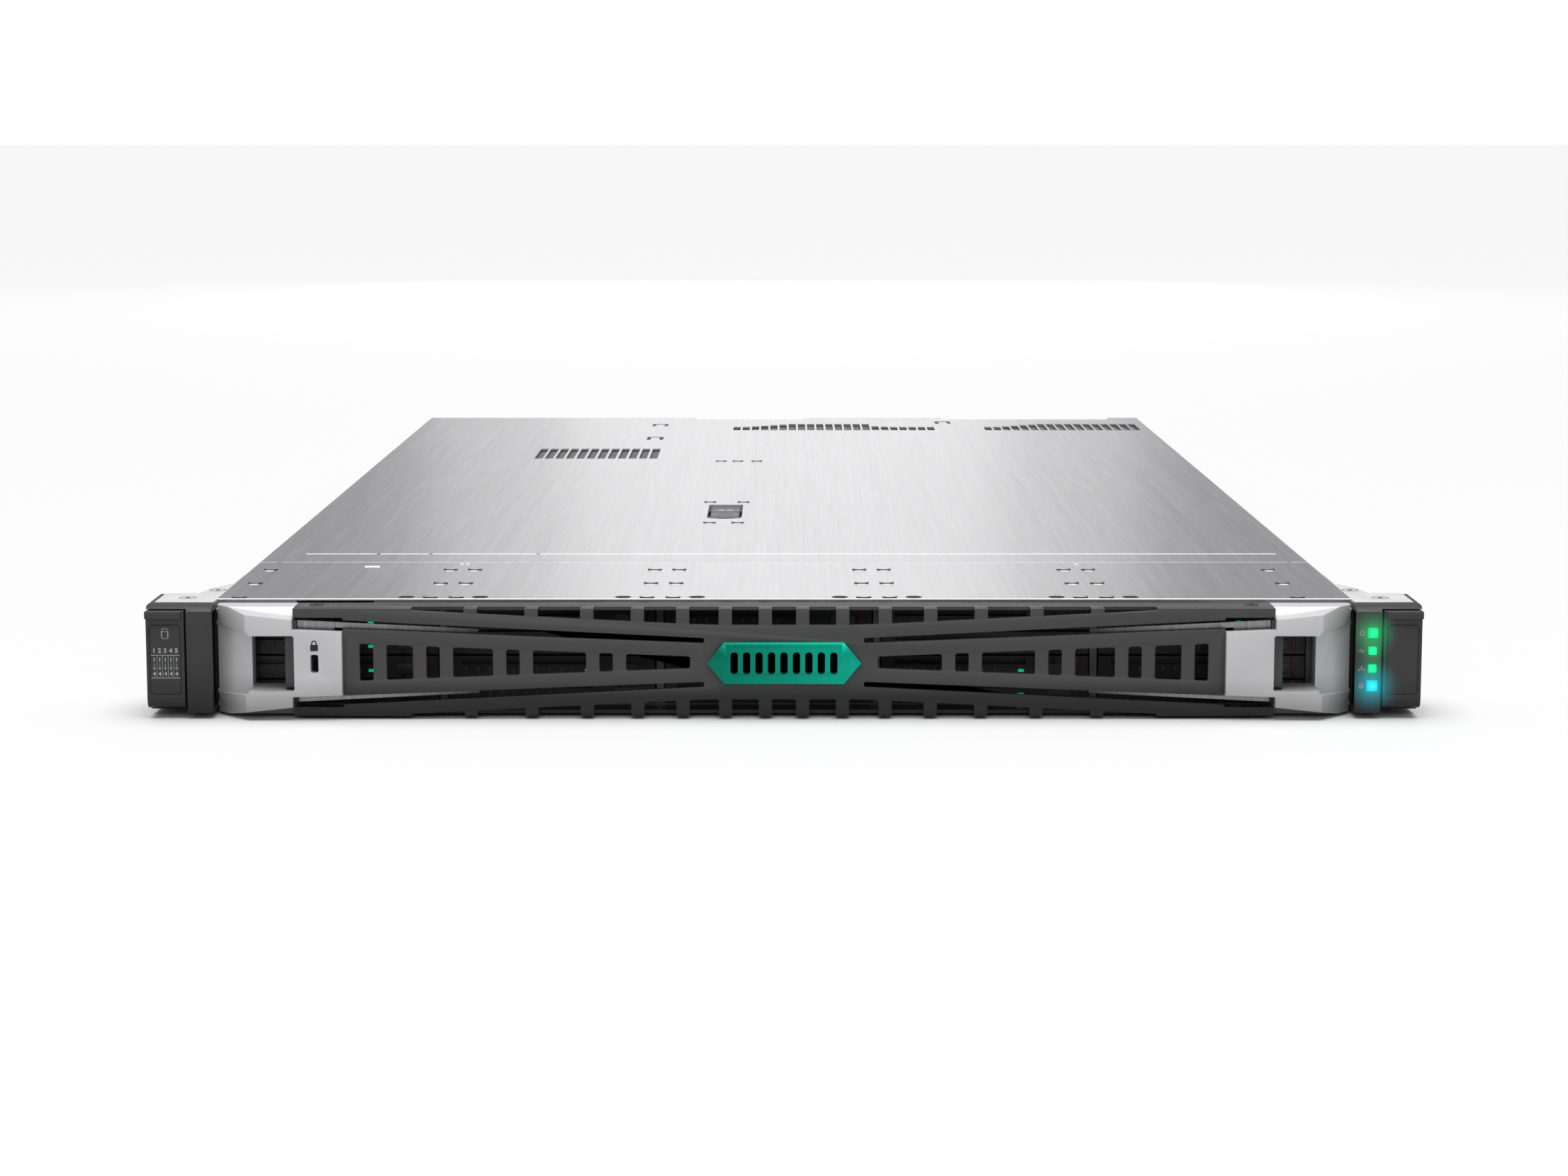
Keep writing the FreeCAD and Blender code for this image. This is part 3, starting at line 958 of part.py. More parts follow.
# ---- rack ears -----------------------------------------------------------------------------------
def ear_bracket(side):
    """Steel ear: rack flange, a top plate with a tail along the cover, and a plate on the chassis side."""
    flange = box((HALF_WIDTH, EAR_HALF), (-EAR_FLANGE, 0), (EAR_BOTTOM_Z, COVER_UNDER_Z))
    outer = EAR_HALF - EAR_RIM
    tail_x = HALF_WIDTH + EAR_TAIL_WIDTH
    outline = [(HALF_WIDTH, EAR_PLATE_FRONT_Y), (outer, EAR_PLATE_FRONT_Y), (outer, 0),
               (tail_x + EAR_FLANGE, 0),
               (tail_x, EAR_TAIL_Y / 2), (HALF_WIDTH + EAR_SIDE_PLATE, EAR_TAIL_Y),
               (HALF_WIDTH, EAR_TAIL_Y)]
    top = prism_xy(outline, (COVER_UNDER_Z, CHASSIS_HEIGHT))
    side_plate = box((HALF_WIDTH, HALF_WIDTH + EAR_SIDE_PLATE), (CHASSIS_FRONT_Y, EAR_SIDE_REAR_Y),
                     (2 * EAR_BOTTOM_Z, COVER_UNDER_Z))
    cuts = [rod("y", (RACK_HOLE_X, RACK_HOLE_Z), RACK_HOLE_RADIUS, (-2 * EAR_FLANGE, EAR_FLANGE)),
            rod("x", (STUD_YS[0], STUD_Z), STUD_HEAD_RADIUS + FIT,
                (HALF_WIDTH - SHEET, HALF_WIDTH + 2 * EAR_SIDE_PLATE))]
    cuts += [rod("z", place, SCREW_HEAD_RADIUS + TOUCH,
                 (CHASSIS_HEIGHT - SCREW_HEAD, CHASSIS_HEIGHT + SHEET))
             for place in EAR_SCREW_PLACES]
    return sided(side, without(fused([flange, top, side_plate]), cuts))


def lever_bay():
    """Space in the ear's moulding that the flip-down lever fills and swings through, at positive X."""
    return box((STRIP_OUTER_X, EAR_HALF + SHEET), (EAR_FACE_Y - SHEET, LEVER_BACK_Y + LEVER_POCKET_GAP),
               (0, LEVER_TOP_Z + LEVER_POCKET_GAP))


def button_well(z, size, depth):
    """Square well in the ear strip's face for a button or lens, at positive X."""
    half = size / 2 + BUTTON_CLEARANCE
    return box((BUTTON_X - half, BUTTON_X + half), (EAR_FACE_Y - SHEET, EAR_FACE_Y + depth),
               (z - half, z + half))


def ear_casing(side):
    """Moulded ear front: strip beside the chassis, brow over the lever, and hollow body before the flange."""
    back = -EAR_FLANGE
    top_front = [(EAR_FACE_Y, EAR_BOTTOM_Z), (EAR_FACE_Y, CHASSIS_HEIGHT - BROW_CHAMFER_DROP),
                 (EAR_FACE_Y + BROW_CHAMFER_DEPTH, CHASSIS_HEIGHT),
                 (EAR_PLATE_FRONT_Y - TOUCH, CHASSIS_HEIGHT),
                 (EAR_PLATE_FRONT_Y - TOUCH, COVER_UNDER_Z), (back, COVER_UNDER_Z), (back, EAR_BOTTOM_Z)]
    body = prism_yz(top_front, (EAR_INNER_X, EAR_HALF))
    rim = box((EAR_HALF - EAR_RIM + TOUCH, EAR_HALF), (EAR_PLATE_FRONT_Y - TOUCH, back),
              (COVER_UNDER_Z, CHASSIS_HEIGHT))
    hollow = box((HALF_WIDTH + EAR_SIDE_PLATE + TOUCH + EAR_WALL, EAR_HALF - EAR_WALL),
                 (LEVER_BACK_Y + LEVER_POCKET_GAP + EAR_WALL, back + SHEET),
                 (EAR_BOTTOM_Z + EAR_WALL, COVER_UNDER_Z - EAR_WALL))
    chassis_room = box((0, HALF_WIDTH + EAR_SIDE_PLATE + TOUCH), (CHASSIS_FRONT_Y - TOUCH, SHEET),
                       (0, CHASSIS_HEIGHT + SHEET))
    relief = box((EAR_INNER_X - SHEET, EAR_INNER_X + STRIP_RELIEF), STRIP_RELIEF_Y, STRIP_RELIEF_Z)
    cuts = [lever_bay(), hollow, chassis_room, relief,
            rod("y", (RACK_HOLE_X, RACK_HOLE_Z), SCREW_ACCESS_RADIUS, (LEVER_BACK_Y - SHEET, SHEET)),
            rod("x", (LEVER_PIN_Y, LEVER_PIN_Z), LEVER_PIN_RADIUS + PIN_CLEARANCE,
                (STRIP_OUTER_X - LEVER_PIN_GRIP - FIT, STRIP_OUTER_X + SHEET))]
    cuts.append(rod("z", EAR_SCREW_PLACES[0], SCREW_RECESS_RADIUS + TOUCH,
                    (COVER_UNDER_Z - EAR_WALL - SHEET, COVER_UNDER_Z + SHEET)))
    if side > 0:
        travel = BUTTON_LENGTH + BUTTON_TRAVEL + BUTTON_CLEARANCE
        cuts += [button_well(POWER_BUTTON_Z, POWER_BUTTON_SIZE, travel),
                 button_well(UID_BUTTON_Z, UID_BUTTON_SIZE, travel)]
        cuts += [button_well(z, LENS_SIZE, BUTTON_LENGTH) for z in LENS_ZS]
    return sided(side, without(fused([body, rim]), cuts))


def ear_screws():
    """Screws of both ears: two through each top plate, and two in each side plate."""
    screws = []
    for side in SIDES.values():
        for x, y in EAR_SCREW_PLACES:
            head = rod("z", (x, y), SCREW_HEAD_RADIUS, (CHASSIS_HEIGHT - SCREW_HEAD, CHASSIS_HEIGHT))
            recess = rod("z", (x, y), SCREW_RECESS_RADIUS,
                         (CHASSIS_HEIGHT - SCREW_HEAD / 2, CHASSIS_HEIGHT + SHEET))
            screws.append(sided(side, head.cut(recess)))
        face = HALF_WIDTH + EAR_SIDE_PLATE
        for y, z in SIDE_SCREWS:
            head = rod("x", (y, z), SCREW_HEAD_RADIUS, (face, face + SCREW_HEAD))
            recess = rod("x", (y, z), SCREW_RECESS_RADIUS, (face + SCREW_HEAD / 2, face + SHEET))
            screws.append(sided(side, head.cut(recess)))
    return group(screws)


def ear_lever(side):
    """Flip-down lever in front of the rack screw: hollow moulding with pull tab, label outline and pin."""
    outer = EAR_HALF - FIT
    x = (LEVER_INNER_X, outer)
    nose = LEVER_BOTTOM_Z + 2 * LEVER_WALL
    profile = [(EAR_FACE_Y, nose), (EAR_FACE_Y, LEVER_TOP_Z), (LEVER_BACK_Y, LEVER_TOP_Z),
               (LEVER_BACK_Y, nose),
               (LEVER_BACK_Y - LEVER_WALL, LEVER_BOTTOM_Z), (EAR_FACE_Y + 2 * LEVER_WALL, LEVER_BOTTOM_Z),
               (EAR_FACE_Y + LEVER_WALL / 2, LEVER_BOTTOM_Z + LEVER_WALL / 2)]
    body = prism_yz(profile, x)
    tab = box((x[0] + LEVER_GAP, x[1]), (EAR_FACE_Y - PULL_TAB_PROUD, EAR_FACE_Y),
              (LEVER_TOP_Z - PULL_TAB_HEIGHT, LEVER_TOP_Z))
    pin = rod("x", (LEVER_PIN_Y, LEVER_PIN_Z), LEVER_PIN_RADIUS,
              (STRIP_OUTER_X - LEVER_PIN_GRIP, x[0] + LEVER_WALL))
    pocket = box((x[0] + LEVER_WALL, x[1] - LEVER_WALL), (EAR_FACE_Y + LEVER_WALL, LEVER_BACK_Y + SHEET),
                 (LEVER_PIN_Z + 2 * LEVER_PIN_RADIUS, LEVER_TOP_Z - LEVER_WALL))
    middle = sum(x) / 2
    groove_y = (EAR_FACE_Y - SHEET, EAR_FACE_Y + PANEL_GROOVE_DEPTH)
    outline = prism_xz(centred_rect(middle, PANEL_CENTRE_Z, PANEL_WIDTH, PANEL_HEIGHT), groove_y,
                       PANEL_CORNER)
    field = prism_xz(centred_rect(middle, PANEL_CENTRE_Z, PANEL_WIDTH - 2 * PANEL_GROOVE_WIDTH,
                                  PANEL_HEIGHT - 2 * PANEL_GROOVE_WIDTH), groove_y,
                     PANEL_CORNER - PANEL_GROOVE_WIDTH)
    return sided(side, without(fused([body, tab, pin]), [pocket, outline.cut(field)]))


def push_button(z, size):
    """Square cap standing just proud of the right ear's strip."""
    half = size / 2
    return box((BUTTON_X - half, BUTTON_X + half),
               (EAR_FACE_Y - BUTTON_PROUD, EAR_FACE_Y - BUTTON_PROUD + BUTTON_LENGTH),
               (z - half, z + half))


def status_lenses():
    """Two small square light windows between the buttons."""
    half = LENS_SIZE / 2
    return group([box((BUTTON_X - half, BUTTON_X + half),
                      (EAR_FACE_Y - LENS_PROUD, EAR_FACE_Y + BUTTON_LENGTH - LENS_PROUD),
                      (z - half, z + half)) for z in LENS_ZS])


# ---- bezel ---------------------------------------------------------------------------------------
def rail_half(x):
    """Distance from the middle to a rail's inner edge, at this X."""
    return RAIL_HALF + max(0.0, abs(x) - SLIT_START_X) * RAIL_SLOPE


def band_half(x):
    """Distance from the middle to the band's edge, at this X."""
    return BAND_HALF + max(0.0, abs(x) - SLIT_START_X) * BAND_SLOPE


def bow_cut(start, end, half_start, half_end, y, radius):
    """Prism symmetric about the bezel's middle height, whose half height changes from start to end."""
    points = [(start, BEZEL_MID_Z - half_start), (end, BEZEL_MID_Z - half_end),
              (end, BEZEL_MID_Z + half_end), (start, BEZEL_MID_Z + half_start)]
    return prism_xz(points, y, radius)


def slit(up, through):
    """Slit between the band and one rail, open at its outer end, at positive X."""
    ends = (SLIT_START_X, RAIL_END_X + SHEET)
    points = [(ends[0], BEZEL_MID_Z + up * band_half(ends[0])),
              (ends[1], BEZEL_MID_Z + up * band_half(ends[1])),
              (ends[1], BEZEL_MID_Z + up * rail_half(ends[1])),
              (ends[0], BEZEL_MID_Z + up * rail_half(ends[0]))]
    return prism_xz(points, through, SLIT_CORNER)


def rail_notch(up, x0, x1, front):
    """Window in a rail that wraps over the bezel's edge, between two X limits, open right behind the skin."""
    edge = BEZEL_MID_Z + up * (BEZEL_HEIGHT / 2 + 2 * NOTCH_CORNER)
    inner = [BEZEL_MID_Z + up * (rail_half(x) + RAIL_RIB) for x in (x0, x1)]
    window = prism_xz([(x0, inner[0]), (x1, inner[1]), (x1, edge), (x0, edge)], (front, NOTCH_BACK_Y),
                      NOTCH_CORNER)
    wall_inner = BEZEL_MID_Z + up * (BEZEL_HEIGHT / 2 - BEZEL_WALL - SHEET)
    return fused([window, box((x0, x1), (BEZEL_FACE_Y + BEZEL_SKIN, NOTCH_BACK_Y), (wall_inner, edge))])


def bezel_frame():
    """Moulded front: two rails and a bow-tie band with their windows, top and bottom walls, end plates."""
    low, high = BEZEL_TOP_Z - BEZEL_HEIGHT, BEZEL_TOP_Z
    skin_back = BEZEL_FACE_Y + BEZEL_SKIN
    through = (BEZEL_FACE_Y - SHEET, skin_back + SHEET)
    face = box((-RAIL_END_X, RAIL_END_X), (BEZEL_FACE_Y, skin_back), (low, high))
    end_x = RAIL_END_X + END_PLATE_WIDTH - SHEET
    tab_front = BEZEL_FACE_Y + BEZEL_SKIN / 3
    parts, cuts = [face], []
    for side in SIDES.values():
        band_end = box((side * BAND_END_X, side * (RAIL_END_X + SHEET)), through,
                       (BEZEL_MID_Z - rail_half(RAIL_END_X), BEZEL_MID_Z + rail_half(RAIL_END_X)))
        cuts += [sided(side, slit(1, through)), sided(side, slit(-1, through)), band_end]
        for x0, x1 in run(BAND_WINDOWS_START, BAND_WINDOWS, BAR_WIDTH, BAND_END_X):
            window = bow_cut(x0, x1, band_half(x0) - BAND_RIB, band_half(x1) - BAND_RIB, through,
                             WINDOW_CORNER)
            cuts.append(sided(side, window))
        for x0, x1 in run(RAIL_WINDOWS[0] / 2 + BAR_WIDTH, RAIL_WINDOWS[1:], BAR_WIDTH, RAIL_END_X):
            cuts += [sided(side, rail_notch(up, x0, x1, through[0])) for up in (-1, 1)]
    middle = RAIL_WINDOWS[0] / 2
    cuts += [rail_notch(up, -middle, middle, through[0]) for up in (-1, 1)]
    margin = BADGE_OPENING_MARGIN
    cuts.append(prism_xz(badge_outline(BADGE_WIDTH - 2 * margin, BADGE_HEIGHT - 2 * margin), through))
    walls = [box((-RAIL_END_X, RAIL_END_X), (BEZEL_FACE_Y, BEZEL_BACK_Y), (low, low + BEZEL_WALL)),
             box((-RAIL_END_X, RAIL_END_X), (BEZEL_FACE_Y, BEZEL_BACK_Y), (high - BEZEL_WALL, high))]
    late_parts = []
    for side in SIDES.values():
        late_parts.append(box((side * (RAIL_END_X - SHEET), side * end_x),
                              (skin_back, skin_back + END_PLATE_THICKNESS),
                              (low + END_PLATE_INSET, high - END_PLATE_INSET)))
        late_parts.append(box((side * (BAND_END_X - BAR_WIDTH), side * end_x),
                              (tab_front, skin_back + SHEET),
                              (BEZEL_MID_Z - GRIP_WINDOW_HALF + SHEET,
                               BEZEL_MID_Z + GRIP_WINDOW_HALF - SHEET)))
    solid = without(fused([face] + walls), cuts)
    solid = fused([solid] + late_parts)
    final_cuts = [lock_slot((BEZEL_FACE_Y - SHEET, skin_back + 2 * SHEET))]
    for side in SIDES.values():
        final_cuts.append(rod("z", (side * BEZEL_SCREW_X, BEZEL_SCREW_Y), BEZEL_SCREW_RADIUS + TOUCH,
                              (high - SCREW_HEAD, high + SHEET)))
    return without(solid, final_cuts)


def lock_slot(y):
    """Security lock slot through the left grip's tongue."""
    return prism_xz(centred_rect(-LOCK_SLOT_X, BEZEL_MID_Z, LOCK_SLOT_WIDTH, LOCK_SLOT_HEIGHT), y,
                    WINDOW_CORNER)


def badge_outline(width, height):
    """Long hexagon with pointed ends, about the bezel's centre."""
    half_w, half_h = width / 2, height / 2
    inner = half_w - BADGE_POINT * height / BADGE_HEIGHT
    z = BEZEL_MID_Z
    return [(-half_w, z), (-inner, z - half_h), (inner, z - half_h), (half_w, z), (inner, z + half_h),
            (-inner, z + half_h)]


def bezel_centre_vent():
    """Long hexagonal vent insert with a row of upright slots, plugged into the bezel's centre opening."""
    front = BEZEL_FACE_Y - BADGE_PROUD
    margin = BADGE_OPENING_MARGIN
    cap = prism_xz(badge_outline(BADGE_WIDTH, BADGE_HEIGHT), (front, BEZEL_FACE_Y))
    plug = prism_xz(badge_outline(BADGE_WIDTH - 2 * margin - 2 * TOUCH,
                                  BADGE_HEIGHT - 2 * margin - 2 * TOUCH),
                    (BEZEL_FACE_Y, BEZEL_FACE_Y + BEZEL_SKIN))
    slots = []
    for i in range(BADGE_SLOTS):
        x = (i - (BADGE_SLOTS - 1) / 2) * BADGE_SLOT_PITCH
        slots.append(prism_xz(centred_rect(x, BEZEL_MID_Z, BADGE_SLOT_WIDTH, BADGE_SLOT_HEIGHT),
                              (front - SHEET, BEZEL_FACE_Y + BEZEL_SKIN + SHEET),
                              BADGE_SLOT_WIDTH / 2 - TOUCH))
    return without(fused([cap, plug]), slots)


def bezel_strip_plates():
    """Brushed C-shaped plates behind the slits, one at each end of the bezel."""
    y0 = BEZEL_FACE_Y + BEZEL_SKIN + END_PLATE_THICKNESS / 2
    plates = []
    inner, outer = RAIL_END_X - STRIP_PLATE_REACH, RAIL_END_X - SHEET - FIT
    window_ends = (inner - SHEET, outer - STRIP_PLATE_LEG)
    for side in SIDES.values():
        plate = bow_cut(inner, outer, rail_half(inner) - STRIP_PLATE_GAP,
                        rail_half(outer) - STRIP_PLATE_GAP,
                        (y0, y0 + STRIP_PLATE_THICKNESS), 0)
        window = bow_cut(window_ends[0], window_ends[1], band_half(window_ends[0]),
                         band_half(window_ends[1]),
                         (y0 - SHEET, y0 + 2 * SHEET), 0)
        plate = sided(side, plate.cut(window))
        plates.append(without(plate, [lock_slot((y0 - SHEET, y0 + 2 * SHEET))]) if side < 0 else plate)
    return group(plates)


def facet_cut(up):
    """Cut that leaves two facets on a grip's top or bottom: a steep tapering one, then a shallow one in front."""
    front, beyond = GRIP_FACE_Y - SHEET, SHEET
    wires = []
    for x in (RAIL_END_X - SHEET, GRIP_OUTER_X + SHEET):
        sideways = GRIP_FACET_SLOPE_X * (x - GRIP_OUTER_X + GRIP_BROW_INSET)
        crease = sideways / (GRIP_BROW_SLOPE - GRIP_FACET_SLOPE_Y)
        section = [(GRIP_BROW_Y + crease, GRIP_BROW_SLOPE * crease),
                   (front, sideways + GRIP_FACET_SLOPE_Y * (front - GRIP_BROW_Y)),
                   (front, beyond), (GRIP_BROW_Y + beyond / GRIP_BROW_SLOPE, beyond)]
        corners = [Vector(x, y, BEZEL_MID_Z + up * (BEZEL_HEIGHT / 2 + rise)) for y, rise in section]
        wires.append(Part.makePolygon(corners + corners[:1]))
    return Part.makeLoft(wires, True, True)


def bezel_grip(side):
    """Silver end of the bezel: two slanted bars joined by a post, a finger window and a flat tongue."""
    low, high = BEZEL_TOP_Z - BEZEL_HEIGHT, BEZEL_TOP_Z
    start_x = RAIL_END_X + TOUCH
    plan = [(start_x, BEZEL_BACK_Y), (start_x, GRIP_FACE_Y),
            (GRIP_OUTER_X - GRIP_CORNER_INSET, GRIP_FACE_Y),
            (GRIP_OUTER_X, GRIP_SIDE_Y), (GRIP_OUTER_X, BEZEL_BACK_Y)]
    block = prism_xy(plan, (low, high))
    half, draft = GRIP_BAR_HALF, GRIP_RECESS_DRAFT
    recess_section = [(GRIP_FACE_Y - SHEET, BEZEL_MID_Z - half),
                      (GRIP_SIDE_Y + SHEET, BEZEL_MID_Z - half - draft),
                      (GRIP_SIDE_Y + SHEET, BEZEL_MID_Z + half + draft),
                      (GRIP_FACE_Y - SHEET, BEZEL_MID_Z + half)]
    recess = prism_yz(recess_section, (GRIP_POST_X, GRIP_OUTER_X + SHEET))
    post_plan = [(GRIP_POST_X, GRIP_FACE_Y - SHEET), (GRIP_OUTER_X + SHEET, GRIP_FACE_Y - SHEET),
                 (GRIP_OUTER_X + SHEET, GRIP_SIDE_Y + SHEET / 2), (GRIP_OUTER_X, GRIP_SIDE_Y + SHEET / 2),
                 (GRIP_OUTER_X - GRIP_POST_RIDGE_INSET, GRIP_POST_RIDGE_Y),
                 (GRIP_POST_X, GRIP_POST_INNER_Y)]
    recess = recess.common(prism_xy(post_plan, (low, high)))
    window_start = RAIL_END_X - GRIP_WINDOW_LAP
    window = prism_xz([(window_start, BEZEL_MID_Z - GRIP_WINDOW_HALF),
                       (GRIP_POST_X + FIT, BEZEL_MID_Z - GRIP_WINDOW_HALF),
                       (GRIP_POST_X + FIT, BEZEL_MID_Z + GRIP_WINDOW_HALF),
                       (window_start, BEZEL_MID_Z + GRIP_WINDOW_HALF)],
                      (GRIP_FACE_Y - SHEET, BEZEL_BACK_Y + SHEET), WINDOW_CORNER)
    tongue_back = BEZEL_FACE_Y + BEZEL_SKIN / 3 - TOUCH
    rise = GRIP_TONGUE_SLOPE * (RAIL_END_X - BAND_END_X)
    tongue = [(BAND_END_X + TOUCH, BEZEL_MID_Z - GRIP_TONGUE_HALF),
              (start_x, BEZEL_MID_Z - GRIP_TONGUE_HALF - rise),
              (start_x, BEZEL_MID_Z + GRIP_TONGUE_HALF + rise),
              (BAND_END_X + TOUCH, BEZEL_MID_Z + GRIP_TONGUE_HALF)]
    inset = END_PLATE_INSET - TOUCH
    frame_room = box((0, RAIL_END_X + END_PLATE_WIDTH - SHEET + TOUCH), (tongue_back, BEZEL_BACK_Y + SHEET),
                     (low + inset, high - inset))
    grip = fused([block, prism_xz(tongue, (GRIP_FACE_Y, tongue_back))])
    grip = without(grip, [recess, window, frame_room, facet_cut(1), facet_cut(-1)])
    grip = sided(side, grip)
    return without(grip, [lock_slot((GRIP_FACE_Y - SHEET, BEZEL_BACK_Y))]) if side < 0 else grip


def bezel_fasteners():
    """Two flush screws in the bezel's top wall and the detent pins at its ends."""
    pieces = []
    for side in SIDES.values():
        head = rod("z", (side * BEZEL_SCREW_X, BEZEL_SCREW_Y), BEZEL_SCREW_RADIUS,
                   (BEZEL_TOP_Z - SCREW_HEAD, BEZEL_TOP_Z))
        recess = rod("z", (side * BEZEL_SCREW_X, BEZEL_SCREW_Y), SCREW_RECESS_RADIUS,
                     (BEZEL_TOP_Z - SCREW_HEAD / 2, BEZEL_TOP_Z + SHEET))
        pieces.append(head.cut(recess))
        heights = [BEZEL_MID_Z + up * offset for offset in DETENT_OFFSETS for up in (-1, 1)]
        pieces += [sided(side, rod("x", (DETENT_Y, z), DETENT_RADIUS, (GRIP_OUTER_X, EAR_INNER_X - TOUCH)))
                   for z in heights]
    return group(pieces)


# ---- assembly ------------------------------------------------------------------------------------
def all_nodes():
    """Every node of the server by name."""
    nodes = {
        "chassis_tub": chassis_tub(),
        "rail_studs": rail_studs(),
        "front_top_cover": front_top_cover(),
        "access_panel": access_panel(),
        "hood_latch": hood_latch(),
        "drive_cage": drive_cage(),
        "drive_backplane": drive_backplane(),
        "front_port_panel": front_port_panel(),
        "fan_housings": fan_housings(),
        "system_board": system_board(),
        "processor_heatsinks": processor_heatsinks(),
        "memory_modules": memory_modules(),
        "riser_cages": riser_cages(),
        "network_adapter": network_adapter(),
        "rear_port_shells": rear_port_shells(),
        "ear_screws": ear_screws(),
        "power_button": push_button(POWER_BUTTON_Z, POWER_BUTTON_SIZE),
        "uid_button": push_button(UID_BUTTON_Z, UID_BUTTON_SIZE),
        "status_lenses": status_lenses(),
        "bezel_frame": bezel_frame(),
        "bezel_centre_vent": bezel_centre_vent(),
        "bezel_strip_plates": bezel_strip_plates(),
        "bezel_fasteners": bezel_fasteners(),
    }
    for name, side in SIDES.items():
        nodes["ear_bracket_" + name] = ear_bracket(side)
        nodes["ear_casing_" + name] = ear_casing(side)
        nodes["ear_lever_" + name] = ear_lever(side)
        nodes["bezel_grip_" + name] = bezel_grip(side)
    for index in range(len(PSU_CENTRES)):
        nodes["power_supply_%d" % (index + 1)] = power_supply(index)
    for index in range(FAN_COUNT):
        nodes["fan_rotor_%d" % (index + 1)] = fan_rotor(index)
    for bay in range(BAY_COUNT):
        for row in range(ROW_COUNT):
            nodes["drive_%d_%d" % (bay + 1, row + 1)] = drive(bay, row)
    return nodes


def main():
    """Builds every node and writes one STEP file for each."""
    os.makedirs("parts", exist_ok=True)
    for name, shape in all_nodes().items():
        shape.exportStep(os.path.join("parts", name + ".step"))
        print(name, len(shape.Solids), "solids", round(shape.Volume), "mm3",
              "" if shape.isValid() else "INVALID")


main()
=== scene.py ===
"""Finishes, lettering, small fittings, studio and camera for a one-unit rack server.

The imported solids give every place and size. Each sub-assembly is a class that dresses its solids, rounds
the ones whose edges catch the light, and adds the pieces that are too small for the solid model.
"""
import logging
import math
from collections.abc import Callable
from dataclasses import dataclass, field
from enum import Enum

import bpy
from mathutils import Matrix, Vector


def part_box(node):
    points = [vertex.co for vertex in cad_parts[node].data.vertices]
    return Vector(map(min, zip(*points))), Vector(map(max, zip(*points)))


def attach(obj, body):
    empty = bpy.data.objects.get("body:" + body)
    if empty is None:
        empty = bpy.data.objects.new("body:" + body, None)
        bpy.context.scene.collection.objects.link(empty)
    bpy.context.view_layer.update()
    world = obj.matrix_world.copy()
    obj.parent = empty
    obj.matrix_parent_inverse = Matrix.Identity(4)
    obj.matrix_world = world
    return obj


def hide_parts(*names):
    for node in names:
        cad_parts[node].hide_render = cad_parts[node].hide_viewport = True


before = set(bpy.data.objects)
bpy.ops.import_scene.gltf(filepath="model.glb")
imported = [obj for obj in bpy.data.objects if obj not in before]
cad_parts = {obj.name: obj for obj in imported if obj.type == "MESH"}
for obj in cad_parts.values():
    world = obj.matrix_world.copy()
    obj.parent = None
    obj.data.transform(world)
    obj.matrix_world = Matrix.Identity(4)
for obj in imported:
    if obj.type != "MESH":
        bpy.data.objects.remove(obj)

LOG = logging.getLogger("rack_server")
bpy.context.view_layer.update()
MM = 0.001
MERGE_MM = 0.004
FLAT_ANGLE = 0.6
SMOOTH_ANGLE = 32.0

Colour = tuple[float, float, float]
Place = tuple[float, float, float] | Vector
Piece = bpy.types.Object
Material = bpy.types.Material
Tree = bpy.types.NodeTree
Node = bpy.types.Node
Socket = bpy.types.NodeSocket


